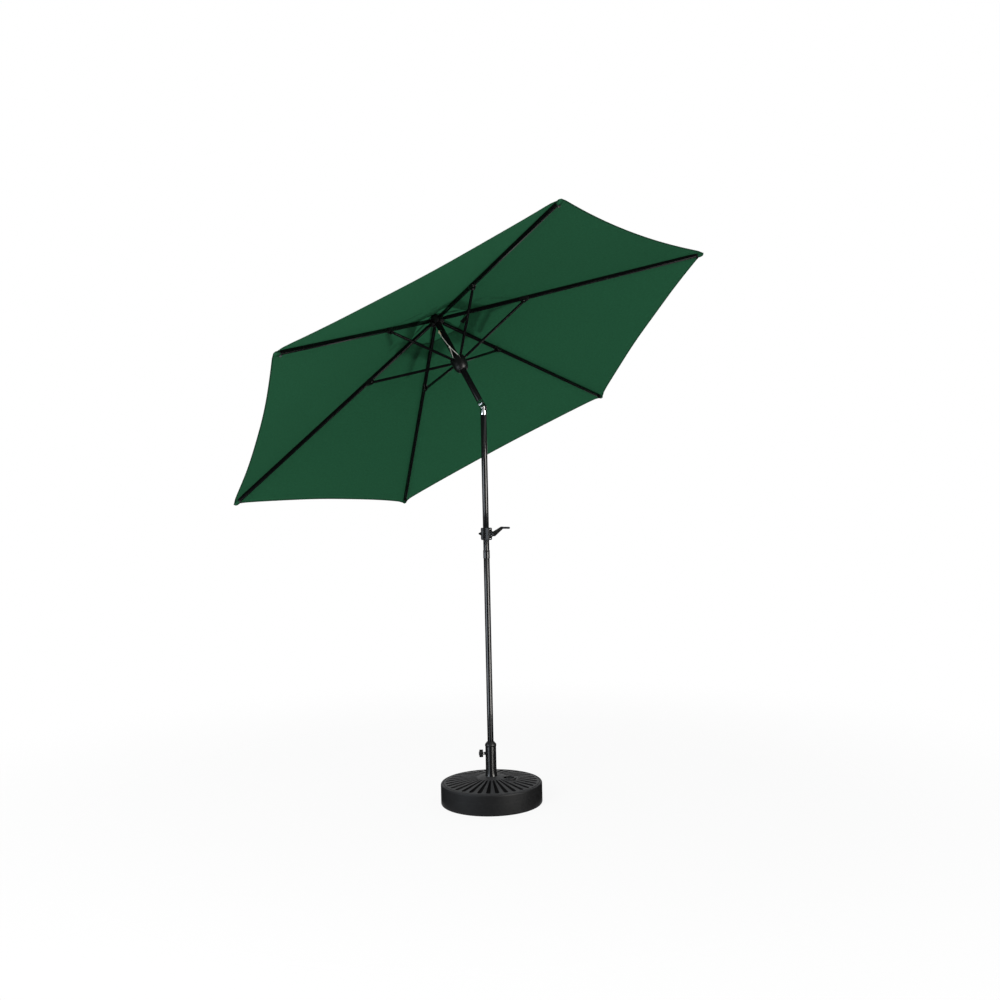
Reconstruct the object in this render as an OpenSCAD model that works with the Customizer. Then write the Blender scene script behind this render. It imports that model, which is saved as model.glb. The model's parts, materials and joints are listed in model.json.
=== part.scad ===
// Tilting, crank-lift garden umbrella with a round fillable base.
// Millimetres. +Z is up, the origin is the middle of the base's underside,
// the pole stands on the Z axis and the canopy leans towards -X.

/* [Base] */
// Diameter of the round base
base_d = 432; // [400:2:520]
// Height of the base's rim
base_rim_z = 90; // [76:1:110]
// Rise of the top from the rim to the stand tube
crown_rise = 26; // [18:1:40]
// Wall thickness of the moulded tank
shell_t = 3; // [2.5:0.25:4.5]
// Radius of the rounded shoulder
shoulder_r = 8; // [6:1:18]
// Radius of the rounded bottom edge
foot_r = 7; // [5:1:14]
// Distance from the rounded shoulder in to the groove that runs round inside it
rim_inset = 2.5; // [2:0.5:14]
// Number of radial grooves in the top
groove_count = 32; // [16:1:40]
// Share of the top that the radial grooves take
groove_share = 0.45; // [0.25:0.05:0.55]
// Depth of the radial grooves
groove_depth = 3; // [1.5:0.5:4]
// Radius of the smooth ring round the stand tube
smooth_r = 62; // [54:1:80]
// Height of the filling inside the tank
fill_z = 74; // [40:1:80]

/* [Filler] */
// Distance of the filler hole from the pole
filler_r = 78; // [74:1:100]
// Direction of the filler hole
filler_az = 22; // [0:1:60]
// Bore of the filler neck
filler_d = 36; // [28:1:38]
// How far the filler cap lifts off
filler_lift = 30; // [20:1:60]

/* [Stand tube] */
// Outside diameter of the stand tube
stand_d = 46; // [42:0.5:50]
// Wall of the stand tube
stand_wall = 1.5; // [1:0.25:2.5]
// Height of the stand tube's top
stand_z = 250; // [235:1:320]
// How far the stand tube's foot flares out above the tank
foot_flare = 2.5; // [0.5:0.25:4]
// Height of the flare
flare_h = 36; // [20:1:50]
// Length of the collar's sleeve inside the stand tube
sleeve_l = 66; // [60:1:90]

/* [Clamp] */
// Height of the clamp screw
clamp_z = 211; // [205:1:228]
// Direction of the clamp screw
clamp_az = 218; // [180:1:260]
// Diameter of the clamp knob
knob_d = 33; // [26:1:42]
// Thickness of the clamp knob
knob_t = 16; // [12:1:22]
// Diameter of the clamp screw
screw_d = 8; // [6:1:9]
// Turns of the knob from clamped to free
clamp_turns = 3; // [1:1:3]
// Pitch of the clamp screw
clamp_pitch = 1.5; // [1:0.25:1.5]

/* [Pole] */
// Outside diameter of the pole
pole_d = 26; // [24:0.5:30]
// Wall of the pole tubes
pole_wall = 1.2; // [1:0.1:2]
// Height of the joint between the two pole lengths
joint_z = 1060; // [800:5:1065]
// Overlap of the two pole lengths
joint_l = 60; // [40:1:65]
// Length of the ferrule over the joint
ferrule_l = 34; // [24:1:50]
// Wall of the ferrule
ferrule_t = 1.3; // [0.8:0.1:3]

/* [Crank] */
// Height of the crank's axis
crank_z = 1147; // [1140:1:1240]
// Height of the crank housing
housing_h = 52; // [46:1:70]
// Reach of the crank side of the housing from the pole's axis
housing_x = 24; // [22:1:34]
// Reach of the rear side of the housing from the pole's axis
housing_rear_x = 20; // [18:1:30]
// Width of the housing
housing_w = 26; // [20:1:30]
// Throw of the crank arm
crank_throw = 50; // [40:1:90]
// Direction of the crank arm, up from the level
crank_up = 29; // [0:1:90]
// Length of the crank grip
grip_l = 36; // [30:1:80]
// Diameter of the crank grip
grip_d = 9; // [8.5:0.5:14]
// Diameter of the bare drum that winds the cord
drum_d = 10; // [8:0.5:11]
// Diameter of the cord wound on the drum
wound_d = 15; // [13:0.5:16]

/* [Tilt joint] */
// Height of the tilt pivot
tilt_z = 1683; // [1500:1:1800]
// Tilt of the mast from the upright
tilt_angle = 32.5; // [10:0.5:40]
// Diameter of the two knuckles
knuckle_d = 28; // [27:0.5:34]
// Length of each knuckle from the pivot
knuckle_l = 31; // [28:1:45]
// Diameter of the tilt pivot rivets
rivet_d = 6; // [4:0.5:7]
// Diameter of the tilt release button
button_d = 8; // [6:0.5:8]
// Travel of the tilt release button
button_travel = 3; // [1.5:0.5:3.5]

/* [Mast] */
// Outside diameter of the mast tube
mast_d = 27; // [26:0.5:32]
// Wall of the mast tube
mast_wall = 1.2; // [1:0.1:2]
// Distance from the tilt pivot to the level of the rib pivots
hub_l = 459.6; // [420:0.1:560]
// Diameter of the top hub
hub_d = 60; // [58:1:72]
// Radius of the ring wire that the ribs hang on
hub_ring_r = 24; // [23:0.5:28]
// Diameter of the ring wires
ring_d = 3.2; // [2:0.2:3.6]

/* [Runner] */
// Distance from the rib pivots down to the strut pivots
runner_drop = 215.6; // [180:0.1:230]
// Diameter of the runner
runner_d = 66; // [62:1:80]
// Radius of the ring wire that the struts hang on
runner_ring_r = 26; // [24:0.5:30]
// Height of the runner above its strut pivots
runner_above = 12; // [10:1:20]
// Depth of the runner below its strut pivots
runner_below = 50; // [40:1:60]

/* [Ribs] */
// Length of a rib from its pivot to its end
rib_len = 1146; // [900:1:1300]
// Slope of the ribs below the level of the hub
rib_droop = 15.8; // [8:0.1:22]
// Width of a rib
rib_w = 11; // [10:0.5:14]
// Height of a rib
rib_h = 15; // [12:0.5:20]
// Wall of a rib
rib_wall = 1; // [0.8:0.1:2]
// Distance from a rib's pivot to its strut bracket
bracket_at = 366; // [300:1:480]
// Direction of the first rib about the mast
first_rib_az = 32.65; // [0:0.05:59]
// Width of a strut
strut_w = 9; // [7:0.5:10]
// Height of a strut
strut_h = 10; // [8:0.5:12]

/* [Canopy] */
// Thickness of the cloth
cloth_t = 1.5; // [1:0.1:3]
// How far the cloth's corners pass the ribs' ends
corner_over = 11; // [8:1:20]
// How far the middle of each hem draws in
hem_draw = 32; // [0:1:80]
// How far the middle of each hem sags
hem_sag = 0; // [0:1:30]
// Radius of the vent hole, to its corners
vent_r = 134; // [100:1:160]
// Radius of the vent cap, to its corners
cap_r = 232; // [190:1:280]
// How far the vent cap bows up between the ribs
cap_bow = 18; // [0:1:40]
// Height of the vent cap's middle above the rib pivots
cap_z = 28; // [20:1:50]
// Height of the finial
finial_h = 48; // [36:1:70]
// Length of the tie strap
strap_l = 50; // [30:1:120]
// Width of the tie strap
strap_w = 17; // [10:1:30]

/* [Cord] */
// Diameter of the lift cord
cord_d = 3; // [2:0.25:4]
// Distance from the rib pivots down to the cord's pulley
pulley_drop = 56; // [52:1:90]
// Direction of the pulley about the mast
pulley_az = 240; // [200:1:260]
// Distance from the rib pivots down to the knot
knot_drop = 146; // [120:1:160]
// Direction of the knot about the mast
knot_az = 290; // [270:1:310]

/* [Hidden] */
$fn = 96;
ribs = 6;
cut = 0.5;            // how far a cutter passes the face it cuts
run_fit = 0.06;       // radial clearance of a pin or shaft that turns
slide_fit = 0.1;      // radial clearance of what slides or is pushed in
near_gap = 0.3;       // gap between pieces that lie beside each other
through = 60;         // length of a cutter that passes right through a fitting
cut_reach = 40;       // length of a cutter that runs out into the open
steel_black = "#141517";
plastic_black = "#1b1b1d";
cloth_green = "#1b4a30";
chrome = "#d8dadc";

// Base
base_r = base_d / 2;
bead_r = base_r - shoulder_r - rim_inset;          // middle of the rim's groove
bead_cut = 1.6;                                    // radius of the rim's groove
cone_r = bead_r - 3;                               // outer edge of the sloping top
stand_r = stand_d / 2;
floor_z = shell_t + 5;                             // what the stand tube stands on
boss_r = filler_d / 2 + 12;                        // the filler's raised ring
groove_clear = 6;                                  // from that ring to the grooves beyond it
boss_z = top_z(filler_r) + 3;
ledge_z = boss_z - 10;                             // the ledge that the cap's flange sits on
cap_flange_r = filler_d / 2 + 4;
function top_z(r) = base_rim_z + crown_rise * (cone_r - r) / (cone_r - stand_r);

// Stand tube, bush and pole
stand_id = stand_d - 2 * stand_wall;
pole_id = pole_d - 2 * pole_wall;
sleeve_od = stand_id - 2 * slide_fit;
guide_d = pole_d + 2 * near_gap;
bush_h = 40;
plug_z = floor_z + 4;                              // underside of the pole's plug
plug_t = 4;
pole_z = plug_z + plug_t + near_gap;               // lower end of the pole
shoulder_h = 12;
collar_h = 8;
collar_over = 0.8;

// Clamp, along its own outward axis
pad_x = pole_d / 2 + near_gap;
pad_t = 3;
pad_d = screw_d + 1;
boss_x = stand_r + 5;
tip_d = screw_d / 2;
clamp_gap = 1;
knob_x = boss_x + 4 + clamp_gap;
pad_room = clamp_turns * clamp_pitch;

// Crank, along X
pole_top_z = tilt_z - knuckle_l;
shaft_d = 8;
boss_d = 24;
boss_l = 9;
ferrule_x = housing_x + boss_l + near_gap;
ferrule_w = 11;
arm_x = ferrule_x + 4;
arm_t = 9;
arm_root_d = 20;
arm_end_d = 10;
arm_rake = 10;                                     // how far the arm leans away from the pole
flange_d = wound_d + 1.5;                          // the drum's flanges
flange_t = 1.4;
drum_end = sqrt(pow(pole_id / 2 - 0.5, 2) - pow(flange_d / 2, 2));
drum_l = 2 * (drum_end - flange_t);
nub_x = 38;

// Tilt joint
knuckle_r = knuckle_d / 2;
cord_room = 3;                                     // half the gap that the cord runs in
cheek_t = 5;
ear_y = cord_room + cheek_t + near_gap;
ear_out = knuckle_r - 0.7;
tongue_r = 11.5;
saddle = 13;                                       // from the pivot down to the ears' root
spigot_l = 36;
button_z = tilt_z - 20.5;

// Mast
mast_id = mast_d - 2 * mast_wall;
hub_r = hub_d / 2;
hub_up = 12;
hub_down = 13;
slot_w = 7.4;
tongue_t = 6;
tongue_h = 13;
stud_d = 10;
cap_boss_r = 13;
pulley_l = hub_l - pulley_drop;
pulley_r = 8.5;
pulley_w = 6;
pulley_x = mast_d / 2 + cord_d / 2 + 1.5 - pulley_r;
axle_d = 4;
cord_lead = 40;                                    // straight run of the cord above the drum
cord_centred = 200;                                // where it reaches the middle, above the crank
cord_swing = 120;                                  // where it leaves the middle, below the pulley

// Ribs and struts, in a rib's own upright plane: [distance from the mast's axis, height]
eye_r = strut_h / 2;
bracket_drop = rib_h / 2 + eye_r + 0.6;
rib_root = [hub_ring_r, hub_l];
rib_way = [cos(rib_droop), -sin(rib_droop)];
rib_below = [-sin(rib_droop), -cos(rib_droop)];
bracket_p = rib_root + bracket_at * rib_way + bracket_drop * rib_below;
runner_l = hub_l - runner_drop;
runner_p = [runner_ring_r, runner_l];
strut_len = norm(bracket_p - runner_p);
strut_up = atan2(bracket_p[1] - runner_p[1], bracket_p[0] - runner_p[0]);
pin_d = 4;
strut_eye_t = 6;
slack_r = 4.2;                                     // hole of the strut's loose end
cheek_gap = rib_w / 2 + 0.2;
cheek_w = 2;
plug_l = 14;
rib_from = 22;                                     // where a rib's tube starts, from its pivot
tongue_in = 6;                                     // how far its tongue reaches into the tube
strut_from = 16;                                   // where a strut's tube starts
strut_tail = 14;                                   // and how far from its outer pin it ends
strut_neck = 20;                                   // length of the flats at a strut's two ends

// Runner
runner_bore = knuckle_d + 0.8;

// Canopy
ridge = rib_w / 2 * tan(rib_droop) * tan(180 / ribs);
cloth_up = rib_h / 2 + ridge + 2 * near_gap;       // from a rib's middle up to the cloth
cloth_len = rib_len + corner_over;
seam_gap = 0.2;
cap_draw = 0.06;                                   // how far the cap's hems draw in, as a share

// ---------------------------------------------------------------- helpers
module pipe(od, id, h) {
    difference() {
        cylinder(d = od, h = h);
        translate([0, 0, -cut]) cylinder(d = id, h = h + 2 * cut);
    }
}

// A cylinder along +X from x0 to x1
module bar_x(d, x0, x1) {
    translate([x0, 0, 0]) rotate([0, 90, 0]) cylinder(d = d, h = x1 - x0);
}

// A cylinder along +Y from y0 to y1
module bar_y(d, y0, y1) {
    translate([0, y0, 0]) rotate([-90, 0, 0]) cylinder(d = d, h = y1 - y0);
}

// A round bar between two points, with round ends
module rod(a, b, d) {
    v = b - a;
    translate(a) rotate([0, acos(v[2] / norm(v)), atan2(v[1], v[0])])
        cylinder(d = d, h = norm(v), $fn = 24);
    translate(a) sphere(d = d, $fn = 24);
    translate(b) sphere(d = d, $fn = 24);
}

// A rectangle with rounded corners, centred
module round_rect(w, h, r) {
    square([w - 2 * r, h], center = true);
    square([w, h - 2 * r], center = true);
    for (x = [-1, 1], y = [-1, 1])
        translate([x * (w / 2 - r), y * (h / 2 - r)]) circle(r = r, $fn = 32);
}

// A ring of round wire in the XY plane
module wire_ring(r, d) {
    rotate_extrude() translate([r, 0]) circle(d = d, $fn = 32);
}

// The mast's own frame: its origin at the tilt pivot, +Z along the mast
module on_mast() {
    translate([0, 0, tilt_z]) rotate([0, -tilt_angle, 0]) children();
}

// A rib's frame: its origin at the rib's pivot, +X along the rib, +Z to the cloth
module on_rib(k) {
    on_mast() rotate([0, 0, first_rib_az + (k - 1) * 360 / ribs])
        translate([rib_root[0], 0, rib_root[1]]) rotate([0, rib_droop, 0]) children();
}

// A strut's frame: its origin at the runner, +X out to the rib's bracket
module on_strut(k) {
    on_mast() rotate([0, 0, first_rib_az + (k - 1) * 360 / ribs])
        translate([runner_p[0], 0, runner_p[1]]) rotate([0, -strut_up, 0]) children();
}

// A point about the mast: distance from its axis, direction, height along it
function about(r, az, z) = [r * cos(az), r * sin(az), z];

// ---------------------------------------------------------------- base
// The tank's outline, drawn in by the inset; the sloping top lies lower by the drop
module tank_outline(inset, drop = 0) {
    r = base_r - inset;
    lo = inset;
    hi = base_rim_z - inset;
    fr = foot_r - inset / 2;
    sr = shoulder_r - inset / 2;
    polygon(concat(
        [[0, lo], [r - fr, lo]],
        [for (a = [-90 + 9:9:0]) [r - fr + fr * cos(a), lo + fr + fr * sin(a)]],
        [for (a = [0:9:90]) [r - sr + sr * cos(a), hi - sr + sr * sin(a)]],
        [[cone_r + 2, hi], [cone_r, hi - drop], [stand_r, hi + crown_rise - drop],
         [0, hi + crown_rise - drop]]
    ));
}

// Half the width of a radial groove at that distance from the middle
function groove_w(r) = groove_share * PI * r / groove_count;

// A groove from the radius given out to the rim, wider as it goes, with round ends
module radial_groove(r0 = smooth_r) {
    slope = atan2(crown_rise, cone_r - stand_r);
    r1 = cone_r - 6;
    w0 = groove_w(r0);
    w1 = groove_w(r1);
    translate([r0, 0, top_z(r0) - groove_depth]) rotate([0, slope, 0])
        linear_extrude(groove_depth + 6) {
            translate([w0, 0]) circle(r = w0, $fn = 32);
            polygon([[w0, -w0], [r1 - r0 - w1, -w1], [r1 - r0 - w1, w1], [w0, w0]]);
            translate([r1 - r0 - w1, 0]) circle(r = w1, $fn = 32);
        }
}

module base_tank() {
    color(plastic_black) difference() {
        union() {
            difference() {
                rotate_extrude() tank_outline(0);
                rotate_extrude() tank_outline(shell_t, groove_depth);
                rotate_extrude() translate([bead_r, base_rim_z]) circle(r = bead_cut, $fn = 32);
            }
            // the well that the stand tube stands in
            translate([0, 0, shell_t - cut])
                cylinder(r = stand_r + slide_fit + shell_t, h = top_z(stand_r) - shell_t);
            // the filler's raised ring and its neck
            rotate([0, 0, filler_az]) translate([filler_r, 0, ledge_z - 16])
                cylinder(r = boss_r, h = boss_z - ledge_z + 16);
        }
        translate([0, 0, floor_z]) cylinder(r = stand_r + slide_fit, h = base_rim_z + crown_rise);
        for (i = [0:groove_count - 1]) {
            az = i * 360 / groove_count;
            by_filler = abs(((az - filler_az + 540) % 360) - 180) < 27;
            rotate([0, 0, az])
                radial_groove(by_filler ? filler_r + boss_r + groove_clear : smooth_r);
        }
        rotate([0, 0, filler_az]) translate([filler_r, 0, 0]) {
            translate([0, 0, ledge_z]) cylinder(r = cap_flange_r + near_gap, h = cut_reach);
            translate([0, 0, ledge_z - 16 - cut]) cylinder(d = filler_d, h = cut_reach);
        }
    }
}

module sand_ballast() {
    color("#b59a6a") difference() {
        intersection() {
            rotate_extrude() tank_outline(shell_t + slide_fit, groove_depth);
            cylinder(r = base_r, h = fill_z);
        }
        cylinder(r = stand_r + 2 * slide_fit + shell_t, h = fill_z + cut);
    }
}

module base_tube() {
    color(steel_black) difference() {
        union() {
            translate([0, 0, floor_z]) pipe(stand_d, stand_id, stand_z - floor_z);
            translate([0, 0, top_z(stand_r) + slide_fit]) difference() {
                cylinder(r1 = stand_r + foot_flare, r2 = stand_r, h = flare_h);
                translate([0, 0, -cut]) cylinder(r = stand_r - stand_wall / 2, h = flare_h + 2 * cut);
            }
            // the nut that the clamp screw turns in
            translate([0, 0, clamp_z]) rotate([0, 0, clamp_az]) intersection() {
                bar_x(screw_d + 6, stand_id / 2 + 0.2, boss_x);
                difference() {
                    bar_x(screw_d + 8, 0, boss_x);
                    translate([0, 0, -cut_reach / 2]) cylinder(d = stand_id, h = cut_reach);
                }
            }
        }
        translate([0, 0, clamp_z]) rotate([0, 0, clamp_az])
            bar_x(screw_d + 2 * run_fit, stand_id / 2 - 4, boss_x + cut);
    }
}

module tube_collar() {
    color(plastic_black) difference() {
        union() {
            translate([0, 0, stand_z - sleeve_l]) cylinder(d = sleeve_od, h = sleeve_l);
            translate([0, 0, stand_z]) cylinder(r1 = stand_r + collar_over,
                r2 = guide_d / 2 + 1.4, h = shoulder_h);
            translate([0, 0, stand_z - collar_h]) pipe(stand_d + 2 * collar_over + 0.4,
                stand_d + 0.2, collar_h);
        }
        translate([0, 0, stand_z - sleeve_l - cut])
            cylinder(d = guide_d, h = sleeve_l + shoulder_h + 2 * cut);
        translate([0, 0, clamp_z]) rotate([0, 0, clamp_az]) bar_x(pad_d + 1, pole_d / 2 - 3, stand_r);
    }
}

module pole_bush() {
    color(plastic_black) translate([0, 0, floor_z]) difference() {
        cylinder(d = sleeve_od, h = bush_h);
        translate([0, 0, plug_z - floor_z]) cylinder(d = guide_d, h = bush_h);
    }
}

module filler_cap() {
    color(plastic_black) rotate([0, 0, filler_az]) translate([filler_r, 0, ledge_z]) {
        cylinder(r = cap_flange_r, h = 3.5);
        translate([0, 0, -12]) cylinder(d = filler_d - 2 * slide_fit, h = 13);
        translate([-filler_d / 2 + 6, -2, 3]) cube([filler_d - 12, 4, 5]);
    }
}

// ---------------------------------------------------------------- clamp
module on_clamp() {
    translate([0, 0, clamp_z]) rotate([0, 0, clamp_az]) children();
}

module clamp_pad() {
    color("#d9d9d4") on_clamp() difference() {
        bar_x(pad_d, pad_x, pad_x + pad_t);
        bar_x(tip_d + 2 * slide_fit, pad_x + 1.5, pad_x + pad_t + cut);
    }
}

module clamp_screw() {
    color(chrome) on_clamp() {
        bar_x(tip_d, pad_x + 1.6, pad_x + pad_t + 1);
        bar_x(screw_d, pad_x + pad_t + slide_fit, knob_x + knob_t - 5);
        bar_x(screw_d + 5, boss_x + clamp_gap, knob_x);
    }
}

module clamp_knob() {
    lobes = 6;
    lobe_r = knob_d / 7;
    color(plastic_black) on_clamp() difference() {
        union() {
            translate([knob_x, 0, 0]) rotate([0, 90, 0]) linear_extrude(knob_t) {
                circle(r = knob_d / 2 - lobe_r / 2);
                for (i = [0:lobes - 1]) rotate(i * 360 / lobes)
                    translate([knob_d / 2 - lobe_r, 0]) circle(r = lobe_r, $fn = 32);
            }
            bar_x(knob_d * 0.5, knob_x + knob_t - cut, knob_x + knob_t + 2);
        }
        bar_x(screw_d + 0.04, knob_x - cut, knob_x + knob_t - 5);
    }
}

// ---------------------------------------------------------------- pole
module pole_plug() {
    color(plastic_black) translate([0, 0, plug_z]) {
        cylinder(d = pole_d, h = plug_t);
        cylinder(d = pole_id - 2 * slide_fit, h = plug_t + 24);
    }
}

module lower_pole() {
    neck_d = pole_id - 2 * slide_fit;
    color(steel_black) {
        translate([0, 0, pole_z]) pipe(pole_d, pole_id, joint_z - pole_z);
        translate([0, 0, joint_z - 6]) pipe(pole_id + 2 * pole_wall, neck_d - 2 * pole_wall, 6);
        translate([0, 0, joint_z - 1]) pipe(neck_d, neck_d - 2 * pole_wall, joint_l + 1);
    }
}

module pole_ferrule() {
    color(steel_black) translate([0, 0, joint_z - ferrule_l / 2])
        pipe(pole_d + 2 * slide_fit + 2 * ferrule_t, pole_d + 2 * slide_fit, ferrule_l);
}

module upper_pole() {
    color(steel_black) difference() {
        translate([0, 0, joint_z + near_gap]) pipe(pole_d, pole_id, pole_top_z - joint_z - near_gap);
        translate([0, 0, crank_z]) bar_x(shaft_d + 1, -pole_d, pole_d);
    }
}

// One half of the crank housing, standing off the pole along +X
module housing_block(reach) {
    saddle_d = pole_d + 2 * slide_fit;
    difference() {
        translate([0, 0, crank_z]) intersection() {
            rotate([90, 0, 0]) linear_extrude(housing_w, center = true) polygon([
                [4, -housing_h / 2], [reach - 5, -housing_h / 2], [reach, -housing_h / 2 + 6],
                [reach, housing_h / 2 - 6], [reach - 5, housing_h / 2], [4, housing_h / 2]
            ]);
            linear_extrude(housing_h, center = true) translate([reach / 2 + 2, 0])
                round_rect(reach - 4, housing_w, 4);
        }
        translate([0, 0, crank_z - housing_h]) cylinder(d = saddle_d, h = 2 * housing_h);
        for (z = [-1, 1]) translate([0, 0, crank_z + z * screw_z()]) {
            bar_x(3.4, 0, reach + cut);
            bar_x(7.4, reach - 2, reach + cut);
        }
    }
}

function screw_z() = housing_h / 2 - 6.5;

module housing_front() {
    color(plastic_black) difference() {
        union() {
            housing_block(housing_x);
            translate([0, 0, crank_z]) bar_x(boss_d, housing_x - cut, housing_x + boss_l);
        }
        translate([0, 0, crank_z]) bar_x(shaft_d + 2 * run_fit, 0, housing_x + boss_l + cut);
        translate([0, 0, crank_z - housing_h])
            cylinder(d = pole_d + 2 * slide_fit, h = 2 * housing_h);
    }
}

module housing_rear() {
    color(plastic_black) difference() {
        union() {
            rotate([0, 0, 180]) housing_block(housing_rear_x);
            translate([-housing_rear_x + cut, 0, crank_z]) rotate([0, -90, 0])
                cylinder(d1 = 20, d2 = 7, h = nub_x - housing_rear_x + cut);
        }
        translate([0, 0, crank_z]) bar_x(shaft_d + 2 * run_fit, -housing_rear_x - 4, 0);
        translate([0, 0, crank_z - housing_h])
            cylinder(d = pole_d + 2 * slide_fit, h = 2 * housing_h);
    }
}

module housing_screws() {
    color(chrome) for (side = [0, 1], z = [-1, 1]) {
        reach = side == 0 ? housing_x : housing_rear_x;
        translate([0, 0, crank_z + z * screw_z()]) rotate([0, 0, 180 * side]) {
            bar_x(3.2, pole_d / 2 + 0.4, reach - 1.9);
            bar_x(6.8, reach - 1.9, reach + 1);
        }
    }
}

// ---------------------------------------------------------------- crank
module on_crank() {
    translate([0, 0, crank_z]) children();
}

module crank_shaft() {
    color(chrome) on_crank() {
        bar_x(shaft_d, -housing_rear_x - 3, arm_x + arm_t - 2);
        bar_x(drum_d, -drum_end, drum_end);
        for (x = [-1, 1]) translate([x * (drum_end - flange_t / 2), 0, 0])
            bar_x(flange_d, -flange_t / 2, flange_t / 2);
    }
}

module cord_winding() {
    color("#d8d3c0") on_crank() difference() {
        bar_x(wound_d, -drum_l / 2 + slide_fit, drum_l / 2 - slide_fit);
        bar_x(drum_d + 2 * slide_fit, -drum_l, drum_l);
    }
}

module crank_ferrule() {
    color(chrome) on_crank() difference() {
        bar_x(arm_root_d - 3, ferrule_x, arm_x - slide_fit);
        bar_x(shaft_d + 2 * slide_fit, ferrule_x - cut, arm_x + cut);
    }
}

// The arm's own plane: +X away from the pole, +Y along the arm
module on_arm() {
    on_crank() rotate([crank_up, 0, 0]) children();
}

module crank_arm() {
    color(plastic_black) on_arm() difference() {
        union() {
            translate([arm_x, 0, 0]) rotate([90, 0, 90]) linear_extrude(arm_t)
                circle(d = arm_root_d);
            multmatrix([[1, arm_rake / crank_throw, 0, arm_x], [0, 1, 0, 0], [0, 0, 1, 0], [0, 0, 0, 1]])
                rotate([90, 0, 90]) linear_extrude(arm_t) {
                    polygon([
                        [0, -arm_root_d / 2], [crank_throw, -arm_end_d / 2],
                        [crank_throw, arm_end_d / 2], [0, arm_root_d / 2]
                    ]);
                    translate([crank_throw, 0]) circle(d = arm_end_d);
                }
        }
        bar_x(shaft_d + 0.04, arm_x - cut, arm_x + arm_t - 2);
        translate([0, crank_throw, 0]) bar_x(pin_d, arm_x, arm_x + arm_rake + arm_t + cut);
    }
}

module crank_grip() {
    x0 = arm_x + arm_rake * (1 + arm_end_d / 2 / crank_throw) + arm_t + near_gap;
    color(plastic_black) on_arm() translate([0, crank_throw, 0]) {
        bar_x(pin_d - 2 * run_fit, x0 - 8, x0 + 4);
        bar_x(grip_d, x0, x0 + grip_l - grip_d / 2);
        translate([x0 + grip_l - grip_d / 2, 0, 0]) sphere(d = grip_d);
    }
}

// ---------------------------------------------------------------- tilt joint
module lower_knuckle() {
    color(chrome) difference() {
        translate([0, 0, tilt_z]) union() {
            translate([0, 0, -knuckle_l - spigot_l])
                cylinder(d = pole_id - 2 * slide_fit, h = spigot_l + cut);
            translate([0, 0, -knuckle_l]) cylinder(r = knuckle_r, h = knuckle_l - saddle);
            intersection() {
                translate([0, 0, -saddle - cut]) cylinder(r = knuckle_r, h = cut_reach);
                for (y = [-1, 1]) translate([0, y * (ear_y + ear_out) / 2, 0])
                    rotate([90, 0, 0]) linear_extrude(ear_out - ear_y, center = true) {
                        circle(r = tongue_r + 0.5);
                        translate([-tongue_r - 0.5, -saddle - cut])
                            square([2 * tongue_r + 1, saddle + cut]);
                    }
            }
        }
        translate([0, 0, tilt_z]) rotate([90, 0, 0]) cylinder(d = rivet_d + 0.04, h = through, center = true);
        translate([0, 0, tilt_z - knuckle_l - spigot_l - cut])
            cylinder(r = cord_room, h = knuckle_l + spigot_l + 2 * cut);
        translate([0, 0, button_z]) rotate([0, 0, 180])
            bar_x(button_d + 2 * slide_fit, cord_room + 1.5, knuckle_r + 2);
    }
}

module tilt_rivets() {
    color(chrome) translate([0, 0, tilt_z]) for (side = [0, 180]) rotate([0, 0, side]) {
        bar_y(rivet_d, cord_room + 0.2, ear_out + 0.5);
        bar_y(rivet_d + 4, ear_out + slide_fit, ear_out + 2);
    }
}

module tilt_button() {
    back = cord_room + 1.5 + button_travel + 2;
    color(chrome) translate([0, 0, button_z]) rotate([0, 0, 180]) {
        bar_x(button_d, back, knuckle_r + button_travel + 0.5);
    }
}

module button_spring() {
    turns = 3;
    x0 = cord_room + 1.5;
    room = button_travel + 2;
    color(chrome) translate([0, 0, button_z]) rotate([0, -90, 0])
        for (i = [0:turns - 1]) translate([0, 0, x0 + 0.6 + i * (room - 1.2) / (turns - 1)])
            wire_ring(button_d / 2 - 1.1, 0.9);
}

module upper_knuckle() {
    color(chrome) on_mast() difference() {
        union() {
            for (y = [-1, 1]) translate([0, y * (cord_room + cheek_t / 2), 0])
                rotate([90, 0, 0]) linear_extrude(cheek_t, center = true) {
                    circle(r = tongue_r);
                    translate([-tongue_r, 0]) square([2 * tongue_r, knuckle_l / 2 + 2]);
                }
            translate([0, 0, knuckle_l / 2 + 1]) cylinder(r = knuckle_r, h = knuckle_l / 2 + 1);
            translate([0, 0, knuckle_l]) cylinder(d = mast_id - 2 * slide_fit, h = spigot_l);
        }
        rotate([90, 0, 0]) cylinder(d = rivet_d + 2 * run_fit, h = through, center = true);
        cylinder(r = cord_room, h = knuckle_l + spigot_l + 4);
    }
}

// ---------------------------------------------------------------- mast and hub
module mast_tube() {
    from = knuckle_l + 2 + near_gap;
    color(steel_black) on_mast() difference() {
        translate([0, 0, from]) pipe(mast_d, mast_id, hub_l - hub_down - near_gap - from);
        rotate([0, 0, pulley_az]) {
            translate([mast_d / 2 - 6, -pulley_w / 2 - 1, pulley_l - pulley_r - 7])
                cube([12, pulley_w + 2, 2 * pulley_r + 14]);
            translate([pulley_x, 0, pulley_l]) rotate([90, 0, 0])
                cylinder(d = axle_d + 0.04, h = through, center = true);
        }
    }
}

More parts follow.
